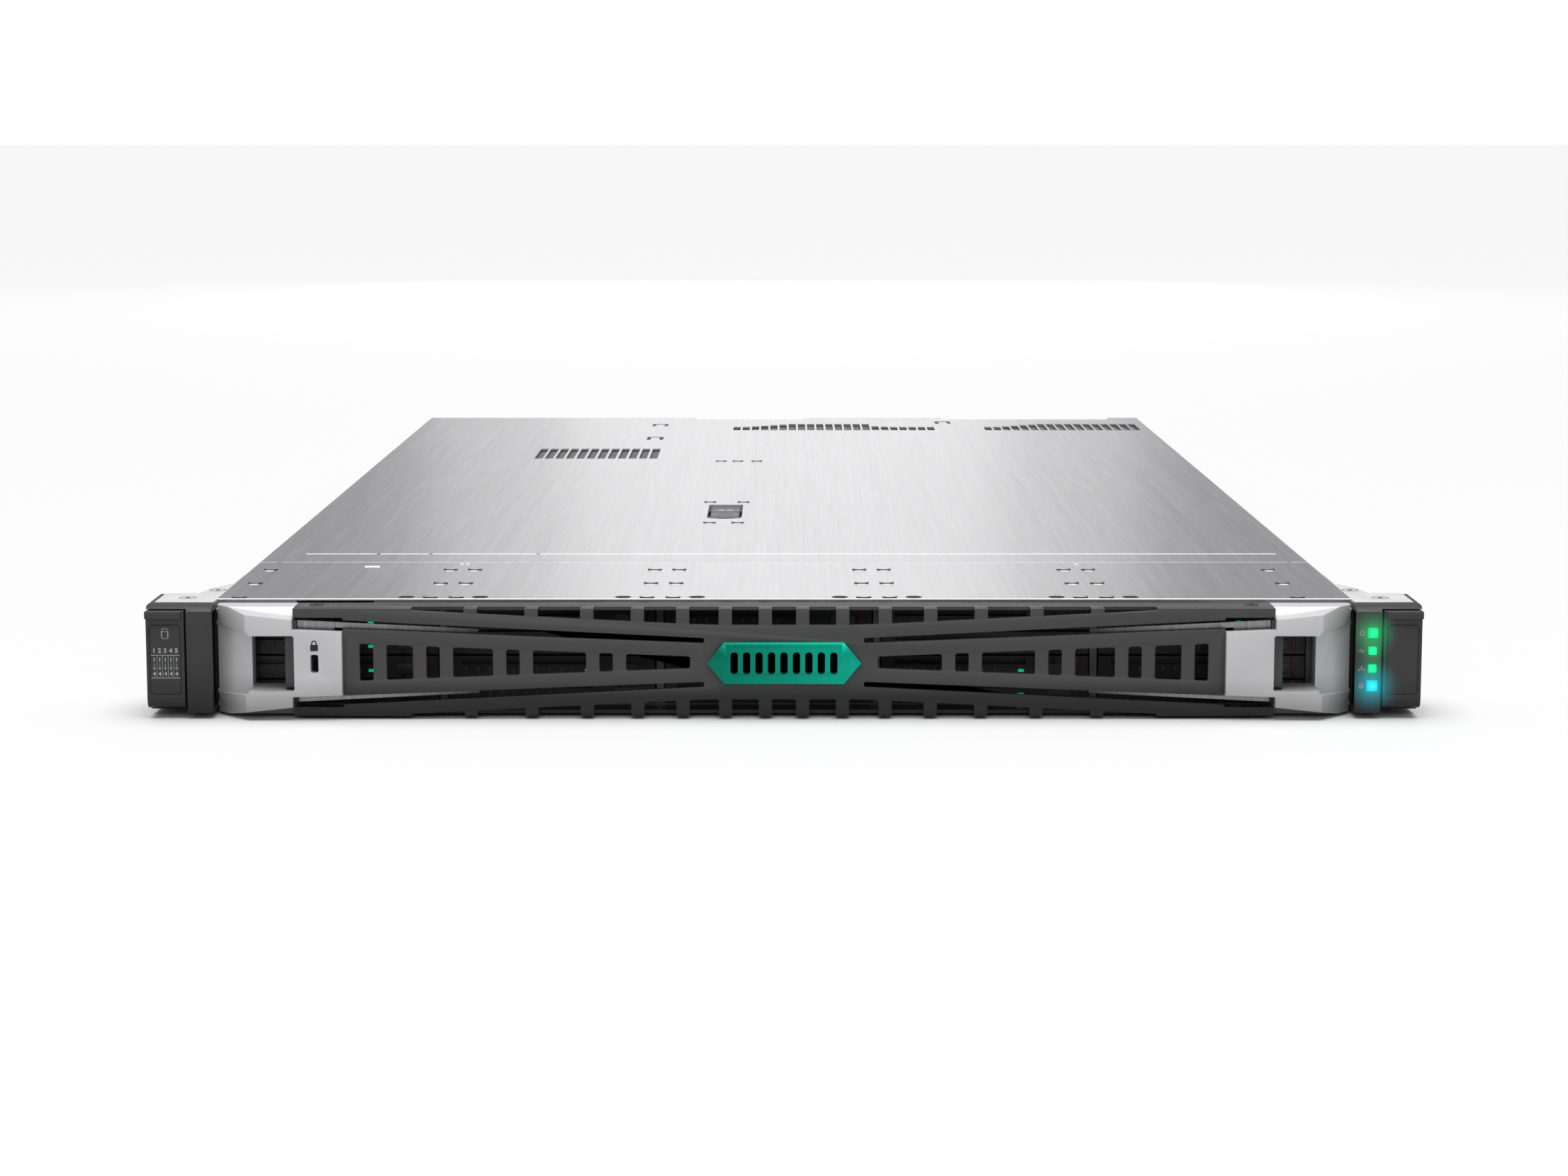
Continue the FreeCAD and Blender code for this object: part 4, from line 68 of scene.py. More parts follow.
# ---- node trees -----------------------------------------------------------------------------------
class Wiring:
    """Adds and links the nodes of one tree."""

    def __init__(self, tree: Tree) -> None:
        """Takes the tree to build in."""
        self.tree = tree

    def add(self, kind: str, **settings: object) -> Node:
        """Adds a node and sets its properties and unlinked inputs.

        Args:
            kind: the node's class name.
            settings: attributes of the node, or input names with spaces as underscores.

        Returns:
            The new node.
        """
        node = self.tree.nodes.new(kind)
        for name, value in settings.items():
            if hasattr(node, name):
                setattr(node, name, value)
            else:
                node.inputs[name.replace("_", " ")].default_value = value
        return node

    def link(self, source: Socket, target: Socket) -> None:
        """Links an output to an input."""
        self.tree.links.new(source, target)

    def math(self, operation: str, first: object, second: object = 0.0, third: object = 0.0,
             clamp: bool = False) -> Socket:
        """Adds a Math node.

        Args:
            operation: the node's operation.
            first: a socket or a number.
            second: a socket or a number.
            third: a socket or a number.
            clamp: whether the result is kept within 0 and 1.

        Returns:
            The node's output.
        """
        node = self.add("ShaderNodeMath", operation=operation, use_clamp=clamp)
        for socket, value in zip(node.inputs, (first, second, third)):
            if isinstance(value, Socket):
                self.link(value, socket)
            else:
                socket.default_value = value
        return node.outputs[0]

    def remap(self, value: Socket, low: float, high: float, to_low: float,
              to_high: float) -> Socket:
        """Maps one range of a value to another, clamped.

        Args:
            value: the socket to map.
            low: start of the range that is read.
            high: end of the range that is read.
            to_low: result at the start.
            to_high: result at the end.

        Returns:
            The mapped value's socket.
        """
        node = self.add("ShaderNodeMapRange", clamp=True)
        self.link(value, node.inputs["Value"])
        for name, number in (("From Min", low), ("From Max", high), ("To Min", to_low), ("To Max", to_high)):
            node.inputs[name].default_value = number
        return node.outputs["Result"]

    def blend(self, mask: Socket, first: Colour, second: Colour) -> Socket:
        """Mixes two colours by a mask.

        Args:
            mask: 0 for the first colour, 1 for the second.
            first: the colour at 0.
            second: the colour at 1.

        Returns:
            The mixed colour's socket.
        """
        node = self.add("ShaderNodeMix", data_type="RGBA")
        self.link(mask, node.inputs["Factor"])
        node.inputs["A"].default_value = (*first, 1.0)
        node.inputs["B"].default_value = (*second, 1.0)
        return node.outputs["Result"]

    def distance(self, centre_mm: Place) -> Socket:
        """Distance from a place on the piece.

        Args:
            centre_mm: the place, in millimetres.

        Returns:
            The distance's socket, in metres.
        """
        away = self.add("ShaderNodeVectorMath", operation="DISTANCE")
        self.link(self.add("ShaderNodeTexCoord").outputs["Object"], away.inputs[0])
        away.inputs[1].default_value = [c * MM for c in centre_mm]
        return away.outputs["Value"]


class Effect(Enum):
    """Surface effects that several materials share."""

    BRUSHING = "brushing"
    UPRIGHT = "upright_brushing"
    GRAIN = "moulded_grain"
    HANDLING = "handling_marks"
    SPANGLE = "zinc_spangle"


@dataclass(frozen=True)
class Layer:
    """One texture of an effect, and its share in the effect's value and height.

    The stretch is in waves per metre on each axis. A layer is noise, or the named output of round cells,
    and has its middle taken off.
    """

    stretch: tuple[float, float, float]
    detail: float
    to_value: float
    to_height: float
    cells: str = ""
    middle: float = 0.5

    def texture(self, wiring: Wiring, start: Node) -> Socket:
        """The layer's texture over the object's coordinates.

        Args:
            wiring: the group's wiring.
            start: the group's input node, whose Scale multiplies the coordinates.

        Returns:
            The value's socket, about -0.5 to 0.5 for noise.
        """
        mapping = wiring.add("ShaderNodeMapping")
        mapping.inputs["Scale"].default_value = self.stretch
        scale = wiring.add("ShaderNodeVectorMath", operation="SCALE")
        wiring.link(wiring.add("ShaderNodeTexCoord").outputs["Object"], mapping.inputs["Vector"])
        wiring.link(mapping.outputs["Vector"], scale.inputs[0])
        wiring.link(start.outputs["Scale"], scale.inputs["Scale"])
        if self.cells:
            pattern = wiring.add("ShaderNodeTexVoronoi", Scale=1.0)
        else:
            pattern = wiring.add("ShaderNodeTexNoise", Scale=1.0, Detail=self.detail, Roughness=0.6)
        wiring.link(scale.outputs[0], pattern.inputs["Vector"])
        return wiring.math("SUBTRACT", pattern.outputs[self.cells or "Fac"], self.middle)


# Streaks along Y and along Z, spark-eroded plastic, broad unevenness, and crystals of a zinc coat.
LAYERS: dict[Effect, tuple[Layer, ...]] = {
    Effect.BRUSHING: (Layer((1900.0, 19.0, 1900.0), 2.0, 1.2, 1.2), Layer((780.0, 8.0, 780.0), 2.0, 1.0, 1.0),
                      Layer((110.0, 1.3, 110.0), 3.0, 0.45, 0.0)),
    Effect.UPRIGHT: (Layer((2300.0, 200.0, 34.0), 2.0, 1.1, 1.0), Layer((760.0, 60.0, 12.0), 3.0, 1.0, 0.0)),
    Effect.GRAIN: (Layer((2600.0,) * 3, 0.0, 0.0, 1.0, "Distance", 0.0), Layer((5200.0,) * 3, 2.0, 1.0, 1.0)),
    Effect.HANDLING: (Layer((26.0,) * 3, 4.0, 1.0, 0.0), Layer((170.0,) * 3, 3.0, 0.35, 1.0)),
    Effect.SPANGLE: (Layer((150.0,) * 3, 0.0, 1.0, 0.0, "Color"), Layer((900.0,) * 3, 2.0, 0.0, 1.0)),
}


class Effects:
    """Builds each shared node group once and places it in materials."""

    built: dict[Effect, Tree] = {}

    @classmethod
    def place(cls, wiring: Wiring, effect: Effect, **values: float) -> Node:
        """Adds a group node for an effect.

        Args:
            wiring: the material's wiring.
            effect: which effect.
            values: the group's input values, by name.

        Returns:
            The group node.
        """
        if effect not in cls.built:
            cls.built[effect] = cls.build(effect)
        node = wiring.add("ShaderNodeGroup", node_tree=cls.built[effect])
        for name, value in values.items():
            node.inputs[name].default_value = value
        return node

    @staticmethod
    def build(effect: Effect) -> Tree:
        """Makes the group of one effect, with a Scale and a Strength input and Value and Height outputs.

        Args:
            effect: which effect.

        Returns:
            The group.
        """
        tree = bpy.data.node_groups.new(effect.value, "ShaderNodeTree")
        for name in ("Scale", "Strength"):
            socket = tree.interface.new_socket(name, in_out="INPUT", socket_type="NodeSocketFloat")
            socket.default_value = 1.0
        for name in ("Value", "Height"):
            tree.interface.new_socket(name, in_out="OUTPUT", socket_type="NodeSocketFloat")
        wiring = Wiring(tree)
        start, end = wiring.add("NodeGroupInput"), wiring.add("NodeGroupOutput")
        textures = [(layer, layer.texture(wiring, start)) for layer in LAYERS[effect]]
        for name, share_name in (("Value", "to_value"), ("Height", "to_height")):
            shares = [(texture, getattr(layer, share_name)) for layer, texture in textures]
            parts = [wiring.math("MULTIPLY", texture, share) for texture, share in shares if share]
            total = parts[0]
            for part in parts[1:]:
                total = wiring.math("ADD", total, part)
            wiring.link(wiring.math("MULTIPLY", total, start.outputs["Strength"]), end.inputs[name])
        return tree


# ---- finishes ---------------------------------------------------------------------------------------
MADE: dict[str, Material] = {}


@dataclass(frozen=True)
class Finish:
    """A surface whose tone, roughness and relief vary by one shared effect."""

    name: str
    colour: Colour
    roughness: float
    metallic: float = 0.0
    effect: Effect = Effect.GRAIN
    scale: float = 1.0
    tone_change: float = 0.06
    roughness_change: float = 0.08
    relief_mm: float = 0.01
    specular: float = 0.5
    coat: float = 0.0
    unevenness: float = 0.6

    def build(self) -> Material:
        """Makes the material, or returns the one made before.

        Returns:
            The material.
        """
        if self.name in MADE:
            return MADE[self.name]
        material = bpy.data.materials.new("finish_" + self.name)
        MADE[self.name] = material
        material.use_nodes = True
        wiring = Wiring(material.node_tree)
        shader = material.node_tree.nodes["Principled BSDF"]
        shader.inputs["Metallic"].default_value = self.metallic
        shader.inputs["Specular IOR Level"].default_value = self.specular
        shader.inputs["Coat Weight"].default_value = self.coat
        effect = Effects.place(wiring, self.effect, Scale=self.scale)
        marks = Effects.place(wiring, Effect.HANDLING)
        cloud = wiring.math("MULTIPLY", marks.outputs["Value"], self.unevenness)
        value = wiring.math("ADD", effect.outputs["Value"], cloud)
        wiring.link(self.tone(wiring, value), shader.inputs["Base Color"])
        wiring.link(wiring.math("MULTIPLY_ADD", value, self.roughness_change, self.roughness, clamp=True),
                    shader.inputs["Roughness"])
        bump = wiring.add("ShaderNodeBump", Strength=1.0, Distance=self.relief_mm * MM)
        wiring.link(effect.outputs["Height"], bump.inputs["Height"])
        wiring.link(bump.outputs["Normal"], shader.inputs["Normal"])
        self.dress_shader(wiring, shader)
        return material

    def tone(self, wiring: Wiring, value: Socket) -> Socket:
        """The base colour, lighter and darker by the effect.

        Args:
            wiring: the material's wiring.
            value: the effect's value, about -0.5 to 0.5.

        Returns:
            The colour's socket.
        """
        mask = wiring.math("ADD", value, 0.5, clamp=True)
        darker = tuple(max(0.0, c * (1.0 - self.tone_change)) for c in self.colour)
        lighter = tuple(min(1.0, c * (1.0 + self.tone_change)) for c in self.colour)
        return wiring.blend(mask, darker, lighter)

    def dress_shader(self, wiring: Wiring, shader: Node) -> None:
        """Hook for a finish that adds to the shader; a plain finish adds nothing."""


class Axis(Enum):
    """Direction along which a finish's painted shade falls off."""

    ACROSS = "X"
    BACK = "Y"
    UP = "Z"


@dataclass(frozen=True)
class PaintedShadeFinish(Finish):
    """A finish with painted shade: darker towards one end of an axis, by millimetres on the piece."""

    axis: Axis = Axis.ACROSS
    mirrored: bool = False
    dim_mm: float = 0.0
    bright_mm: float = 1.0
    dim_share: float = 0.3

    def tone(self, wiring: Wiring, value: Socket) -> Socket:
        """The varied colour, with painted shade darkening it towards the dim end.

        Args:
            wiring: the material's wiring.
            value: the effect's value.

        Returns:
            The colour's socket.
        """
        place = wiring.add("ShaderNodeTexCoord")
        apart = wiring.add("ShaderNodeSeparateXYZ")
        wiring.link(place.outputs["Object"], apart.inputs[0])
        along = apart.outputs[self.axis.value]
        if self.mirrored:
            along = wiring.math("ABSOLUTE", along)
        share = wiring.remap(along, self.dim_mm * MM, self.bright_mm * MM, self.dim_share, 1.0)
        dimmed = wiring.add("ShaderNodeMix", data_type="RGBA")
        wiring.link(share, dimmed.inputs["Factor"])
        dimmed.inputs["A"].default_value = (0.0, 0.0, 0.0, 1.0)
        wiring.link(super().tone(wiring, value), dimmed.inputs["B"])
        return dimmed.outputs["Result"]


@dataclass(frozen=True)
class LitPlastic(Finish):
    """Translucent plastic lit from behind, paler near the lamps behind it."""

    glow: Colour = (0.0, 1.0, 0.4)
    core: Colour = (0.0, 1.0, 0.4)
    strength: float = 1.0
    core_start_mm: float = 0.4
    core_reach_mm: float = 2.3
    lamps_mm: tuple[tuple[float, float, float], ...] = ()

    def dress_shader(self, wiring: Wiring, shader: Node) -> None:
        """Adds the glow, and the paler core in front of each lamp.

        Args:
            wiring: the material's wiring.
            shader: its shader.
        """
        shader.inputs["Emission Strength"].default_value = self.strength
        if not self.lamps_mm:
            shader.inputs["Emission Color"].default_value = (*self.glow, 1.0)
            return
        nearest = wiring.distance(self.lamps_mm[0])
        for lamp in self.lamps_mm[1:]:
            nearest = wiring.math("MINIMUM", nearest, wiring.distance(lamp))
        mask = wiring.remap(nearest, self.core_start_mm * MM, self.core_reach_mm * MM, 1.0, 0.0)
        wiring.link(wiring.blend(mask, self.glow, self.core), shader.inputs["Emission Color"])


@dataclass(frozen=True)
class GlowSpill:
    """Painted light of one button on the moulding round it."""

    place_mm: tuple[float, float, float]
    colour: Colour
    reach_mm: float
    strength: float


@dataclass(frozen=True)
class SpillPlastic(PaintedShadeFinish):
    """Moulding with painted light, a soft emitted glow, round its lit buttons."""

    spills: tuple[GlowSpill, ...] = ()
    full_share: float = 0.15
    falloff: float = 2.2

    def dress_shader(self, wiring: Wiring, shader: Node) -> None:
        """Adds each button's painted light spill, which fades with the distance from its centre.

        Args:
            wiring: the material's wiring.
            shader: its shader.
        """
        total = None
        for spill in self.spills:
            start = spill.reach_mm * self.full_share * MM
            near = wiring.remap(wiring.distance(spill.place_mm), start, spill.reach_mm * MM, 1.0, 0.0)
            fade = wiring.math("POWER", near, self.falloff)
            share = wiring.math("MULTIPLY", fade, spill.strength, clamp=True)
            tint = wiring.blend(share, (0.0, 0.0, 0.0), spill.colour)
            if total is None:
                total = tint
                continue
            both = wiring.add("ShaderNodeMix", data_type="RGBA", blend_type="ADD")
            both.inputs["Factor"].default_value = 1.0
            wiring.link(total, both.inputs["A"])
            wiring.link(tint, both.inputs["B"])
            total = both.outputs["Result"]
        wiring.link(total, shader.inputs["Emission Color"])
        shader.inputs["Emission Strength"].default_value = 1.0


GREEN_GLOW: Colour = (0.005, 0.75, 0.22)
CYAN_GLOW: Colour = (0.01, 0.72, 0.88)

# Painted shade: the cover's front bend and lip, forward of Y -13.6 mm, are darker than the rest of the sheet.
COVER_STEEL = PaintedShadeFinish("cover_steel", (0.80, 0.80, 0.81), 0.30, 1.0, Effect.BRUSHING, 1.0, 0.13, 0.05,
                          0.0015, unevenness=0.12, axis=Axis.BACK, dim_mm=-13.75, bright_mm=-13.60,
                          dim_share=0.58)
PANEL_STEEL = Finish("panel_steel", (0.79, 0.79, 0.80), 0.31, 1.0, Effect.BRUSHING, 1.03, 0.14, 0.05, 0.0015,
                     unevenness=0.12)
CHASSIS_ZINC = Finish("chassis_zinc", (0.56, 0.57, 0.58), 0.42, 0.9, Effect.SPANGLE, 1.0, 0.10, 0.12, 0.002)
REAR_ZINC = Finish("rear_zinc", (0.60, 0.61, 0.62), 0.38, 0.9, Effect.SPANGLE, 1.3, 0.10, 0.12, 0.002)
SUPPLY_ZINC = Finish("supply_zinc", (0.58, 0.59, 0.60), 0.36, 0.9, Effect.SPANGLE, 1.6, 0.12, 0.12, 0.002)
CAGE_STEEL = Finish("cage_steel", (0.20, 0.205, 0.21), 0.45, 0.7, Effect.SPANGLE, 1.2, 0.12, 0.10, 0.002)
BRIGHT_STEEL = Finish("bright_steel", (0.70, 0.70, 0.70), 0.28, 1.0, Effect.HANDLING, 1.0, 0.05, 0.08, 0.001)
EAR_METAL = Finish("ear_metal", (0.92, 0.92, 0.925), 0.40, 0.35, Effect.HANDLING, 1.0, 0.03, 0.06, 0.001)
# Painted shade: the moulding darkens from 14.5 mm down to 8.5 mm above the underside, so the lower rails look
# shaded.
BEZEL_PLASTIC = PaintedShadeFinish("bezel_plastic", (0.066, 0.066, 0.067), 0.36, 0.0, Effect.GRAIN, 1.0, 0.10, 0.08,
                            0.012, specular=0.55, axis=Axis.UP, dim_mm=8.5, bright_mm=14.5, dim_share=0.22)
# Painted shade: the ear mouldings and levers darken towards the bottom.
EAR_PLASTIC = PaintedShadeFinish("ear_plastic", (0.044, 0.044, 0.045), 0.44, 0.0, Effect.GRAIN, 1.0, 0.10, 0.08,
                          0.012, axis=Axis.UP, dim_mm=0.0, bright_mm=22.0, dim_share=0.30)
LEVER_PLASTIC = PaintedShadeFinish("lever_plastic", (0.046, 0.046, 0.047), 0.43, 0.0, Effect.GRAIN, 1.0, 0.10, 0.08,
                            0.012, axis=Axis.UP, dim_mm=0.0, bright_mm=16.0, dim_share=0.30)
# Painted shade: the silver grips darken towards their lower bars.
GRIP_SILVER = PaintedShadeFinish("grip_silver", (0.74, 0.74, 0.75), 0.38, 0.30, Effect.GRAIN, 0.8, 0.08, 0.10, 0.004,
                          axis=Axis.UP, dim_mm=2.0, bright_mm=16.0, dim_share=0.55)
# Painted reflection: the brushed strips are bright towards their outer ends and dark towards the middle.
STRIP_METAL = PaintedShadeFinish("strip_metal", (0.42, 0.42, 0.425), 0.32, 0.9, Effect.UPRIGHT, 1.0, 0.40, 0.12,
                          0.002, mirrored=True, dim_mm=114.0, bright_mm=150.0, dim_share=0.20)
# Painted light: the green insert is darker at its left end and brighter at its right end.
ACCENT_GREEN = PaintedShadeFinish("accent_green", (0.003, 0.60, 0.40), 0.26, 0.80, Effect.UPRIGHT, 0.6, 0.12, 0.06,
                           0.001, dim_mm=-28.0, bright_mm=28.0, dim_share=0.45)
LATCH_PLASTIC = Finish("latch_plastic", (0.11, 0.11, 0.115), 0.42, 0.0, Effect.GRAIN, 1.0, 0.06, 0.06, 0.010)
DARK_PLASTIC = Finish("dark_plastic", (0.022, 0.022, 0.024), 0.50, 0.0, Effect.GRAIN, 1.0, 0.10, 0.08, 0.010)
DRIVE_FACE = Finish("drive_face", (0.030, 0.031, 0.033), 0.42, 0.0, Effect.GRAIN, 1.0, 0.10, 0.08, 0.010)
DRIVE_RELEASE = Finish("drive_release", (0.055, 0.056, 0.058), 0.38, tone_change=0.10, relief_mm=0.008)
SCREEN_STEEL = Finish("screen_steel", (0.17, 0.17, 0.173), 0.6, 0.3, Effect.HANDLING, 1.0, 0.05, 0.06, 0.001)
# Painted shade: a dark finish for upright rim sides, groove bridges, seam notches and screw rings, where
# shade falls.
PAINTED_SHADE = Finish("pressed_edge", (0.055, 0.055, 0.057), 0.5, 0.4, Effect.HANDLING, 1.0, 0.05, 0.05,
                      0.0005)
# Pale finish of the pilot dots, also the painted highlight on the sheet in front of each press mark.
PALE_STEEL_AND_HIGHLIGHT = Finish("burnished_steel", (0.93, 0.93, 0.935), 0.5, 0.25, Effect.HANDLING, 1.0, 0.02, 0.04,
                   0.0005)
WHITE_PRINT = Finish("white_print", (0.86, 0.86, 0.86), 0.45, 0.0, Effect.HANDLING, 1.0, 0.02, 0.04, 0.0005)
MAROON = Finish("maroon_plastic", (0.085, 0.012, 0.022), 0.42, 0.0, Effect.GRAIN, 1.0, 0.10, 0.08, 0.006)
BOARD = Finish("board_lacquer", (0.012, 0.055, 0.040), 0.32, 0.0, Effect.SPANGLE, 3.0, 0.25, 0.08,
               0.006, coat=0.3)
CHIP = Finish("chip_resin", (0.025, 0.025, 0.027), 0.50, 0.0, Effect.GRAIN, 0.7, 0.10, 0.06, 0.006)
FIN_METAL = Finish("fin_aluminium", (0.74, 0.74, 0.75), 0.32, 1.0, Effect.BRUSHING, 1.2, 0.06, 0.08, 0.001)
INK_GREY = Finish("ink_grey", (0.50, 0.51, 0.51), 0.55, 0.0, Effect.HANDLING, 1.0, 0.03, 0.03, 0.0005)
# Dark print on the latch and grip, also painted shade in the rings round the bezel screw caps and sockets.
DARK_INK_AND_SHADE = Finish("ink_dark", (0.020, 0.020, 0.022), 0.50, 0.0, Effect.HANDLING, 1.0, 0.03, 0.03, 0.0005)
PILOT_GREEN = LitPlastic("pilot_green", (0.01, 0.30, 0.10), 0.40, glow=(0.0, 0.75, 0.22), strength=0.55)


# ---- modelling helpers ------------------------------------------------------------------------------
def mm(*values: float) -> Vector:
    """A place or size in millimetres as metres."""
    return Vector([v * MM for v in values])


def node_box(node: str) -> tuple[Vector, Vector]:
    """Lowest and highest corner of a solid, in millimetres."""
    low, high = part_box(node)
    return low / MM, high / MM


def round_tops(node: str, from_z: float, reach: float) -> list[Vector]:
    """Middles of the round tops that stand above a height on a solid.

    Args:
        node: the solid's name.
        from_z: only points above this height count, in millimetres.
        reach: points nearer to each other than this belong to one top.

    Returns:
        The middles, at that height.
    """
    corners = [vertex.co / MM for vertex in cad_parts[node].data.vertices]
    loose = {(round(c.x, 2), round(c.y, 2)) for c in corners if c.z >= from_z}
    middles = []
    while loose:
        group = [loose.pop()]
        for point in group:
            near = [other for other in loose if math.dist(point, other) < reach]
            loose.difference_update(near)
            group.extend(near)
        xs, ys = [p[0] for p in group], [p[1] for p in group]
        middles.append(Vector(((min(xs) + max(xs)) / 2, (min(ys) + max(ys)) / 2, from_z)))
    return middles


def ring(centre: Vector, radius_mm: float, wire_mm: float) -> Piece:
    """A thin level ring.

    Args:
        centre: its centre, in millimetres.
        radius_mm: radius of its middle line.
        wire_mm: its thickness.

    Returns:
        The new object.
    """
    piece = added(bpy.ops.mesh.primitive_torus_add, major_radius=radius_mm * MM,
                  minor_radius=wire_mm / 2 * MM, major_segments=28, minor_segments=8, location=centre * MM)
    settle(piece)
    return piece


def added(operator: Callable[..., set[str]], **settings: object) -> Piece:
    """Runs an operator that adds an object, with nothing selected before.

    Args:
        operator: the operator.
        settings: its settings.

    Returns:
        The new object.
    """
    bpy.ops.object.select_all(action="DESELECT")
    operator(**settings)
    return bpy.context.object


def only(piece: Piece) -> None:
    """Makes one object the whole selection and the active one.

    Args:
        piece: the object.
    """
    bpy.ops.object.select_all(action="DESELECT")
    piece.select_set(True)
    bpy.context.view_layer.objects.active = piece


def settle(piece: Piece) -> None:
    """Moves a piece's place, turn and size into its mesh."""
    only(piece)
    bpy.ops.object.transform_apply(location=True, rotation=True, scale=True)


def apply_modifier(piece: Piece, kind: str, **settings: object) -> None:
    """Adds a modifier with these settings and applies it.

    Args:
        piece: the piece to change.
        kind: the modifier's type.
        settings: the modifier's attributes.
    """
    modifier = piece.modifiers.new(kind.lower(), kind)
    for name, value in settings.items():
        setattr(modifier, name, value)
    only(piece)
    bpy.ops.object.modifier_apply(modifier=modifier.name)


def round_edges(piece: Piece, width_mm: float, segments: int = 2, from_angle: float = 28.0) -> None:
    """Bevels a piece's sharp edges and smooths its shading.

    Args:
        piece: the piece to round.
        width_mm: the bevel's width.
        segments: faces across the bevel.
        from_angle: edges sharper than this many degrees are rounded.
    """
    apply_modifier(piece, "BEVEL", width=width_mm * MM, segments=segments, limit_method="ANGLE",
                   angle_limit=math.radians(from_angle), use_clamp_overlap=True)
    only(piece)
    bpy.ops.object.shade_smooth_by_angle(angle=math.radians(SMOOTH_ANGLE))


def paint(piece: Piece, finish: Finish) -> None:
    """Gives a piece or a solid one finish all over.

    Args:
        piece: the piece or solid.
        finish: its finish.
    """
    material = finish.build()
    if not piece.material_slots:
        piece.data.materials.append(material)
    for place in piece.material_slots:
        place.material = material


def keep(piece: Piece, name: str, body: str, finish: Finish | None = None) -> Piece:
    """Names a finished piece, settles it, dresses it and ties it to its body.

    Args:
        piece: the finished object.
        name: the piece's name.
        body: the body it moves with.
        finish: its finish, or None where it already has its materials.

    Returns:
        The same piece.
    """
    settle(piece)
    piece.name = name
    piece.data.name = name
    if finish is not None:
        paint(piece, finish)
    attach(piece, body)
    LOG.info("piece %s on %s", name, body)
    return piece


def stand_in(node: str, name: str, body: str, finish: Finish, width_mm: float,
             segments: int = 2) -> None:
    """Shows a copy of a solid with rounded edges in the solid's place.

    Args:
        node: the solid's name.
        name: the new piece's name.
        body: the body it moves with.
        finish: its finish.
        width_mm: width of the rounding.
        segments: faces across the rounding.
    """
    piece = bpy.data.objects.new(node + "_rounded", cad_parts[node].data.copy())
    bpy.context.scene.collection.objects.link(piece)
    only(piece)
    bpy.ops.object.mode_set(mode="EDIT")
    bpy.ops.mesh.select_all(action="SELECT")
    bpy.ops.mesh.remove_doubles(threshold=MERGE_MM * MM)
    bpy.ops.mesh.dissolve_limited(angle_limit=math.radians(FLAT_ANGLE))
    bpy.ops.object.mode_set(mode="OBJECT")
    round_edges(piece, width_mm, segments)
    keep(piece, name, body, finish)
    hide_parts(node)


def block(low: Place, high: Place, edge_mm: float = 0.0, segments: int = 2) -> Piece:
    """A bar or plate between two corners, with rounded edges.

    Args:
        low: lowest corner, in millimetres.
        high: highest corner, in millimetres.
        edge_mm: width of the rounding.
        segments: faces across the rounding.

    Returns:
        The new object.
    """
    low, high = Vector(low), Vector(high)
    piece = added(bpy.ops.mesh.primitive_cube_add, size=1.0, location=(low + high) / 2 * MM)
    piece.scale = (high - low) * MM
    settle(piece)
    if edge_mm > 0:
        round_edges(piece, edge_mm, segments)
    return piece


def rod(start: Place, end: Place, radius_mm: float, edge_mm: float = 0.0, sides: int = 24) -> Piece:
    """A round bar between two points, with rounded rims.

    Args:
        start: centre of one end, in millimetres.
        end: centre of the other end.
        radius_mm: the bar's radius.
        edge_mm: width of the rims' rounding.
        sides: faces round the bar.

    Returns:
        The new object.
    """
    start, end = Vector(start), Vector(end)
    along = end - start
    piece = added(bpy.ops.mesh.primitive_cylinder_add, vertices=sides, radius=radius_mm * MM,
                  depth=along.length * MM, location=(start + end) / 2 * MM,
                  rotation=along.to_track_quat("Z", "Y").to_euler())
    settle(piece)
    if edge_mm > 0:
        round_edges(piece, edge_mm)
    return piece


def joined(pieces: list[Piece]) -> Piece:
    """Joins several objects into the first.

    Args:
        pieces: the objects.

    Returns:
        The first, with all of their meshes.
    """
    bpy.ops.object.select_all(action="DESELECT")
    for piece in pieces:
        piece.select_set(True)
    bpy.context.view_layer.objects.active = pieces[0]
    if len(pieces) > 1:
        bpy.ops.object.join()
    return pieces[0]


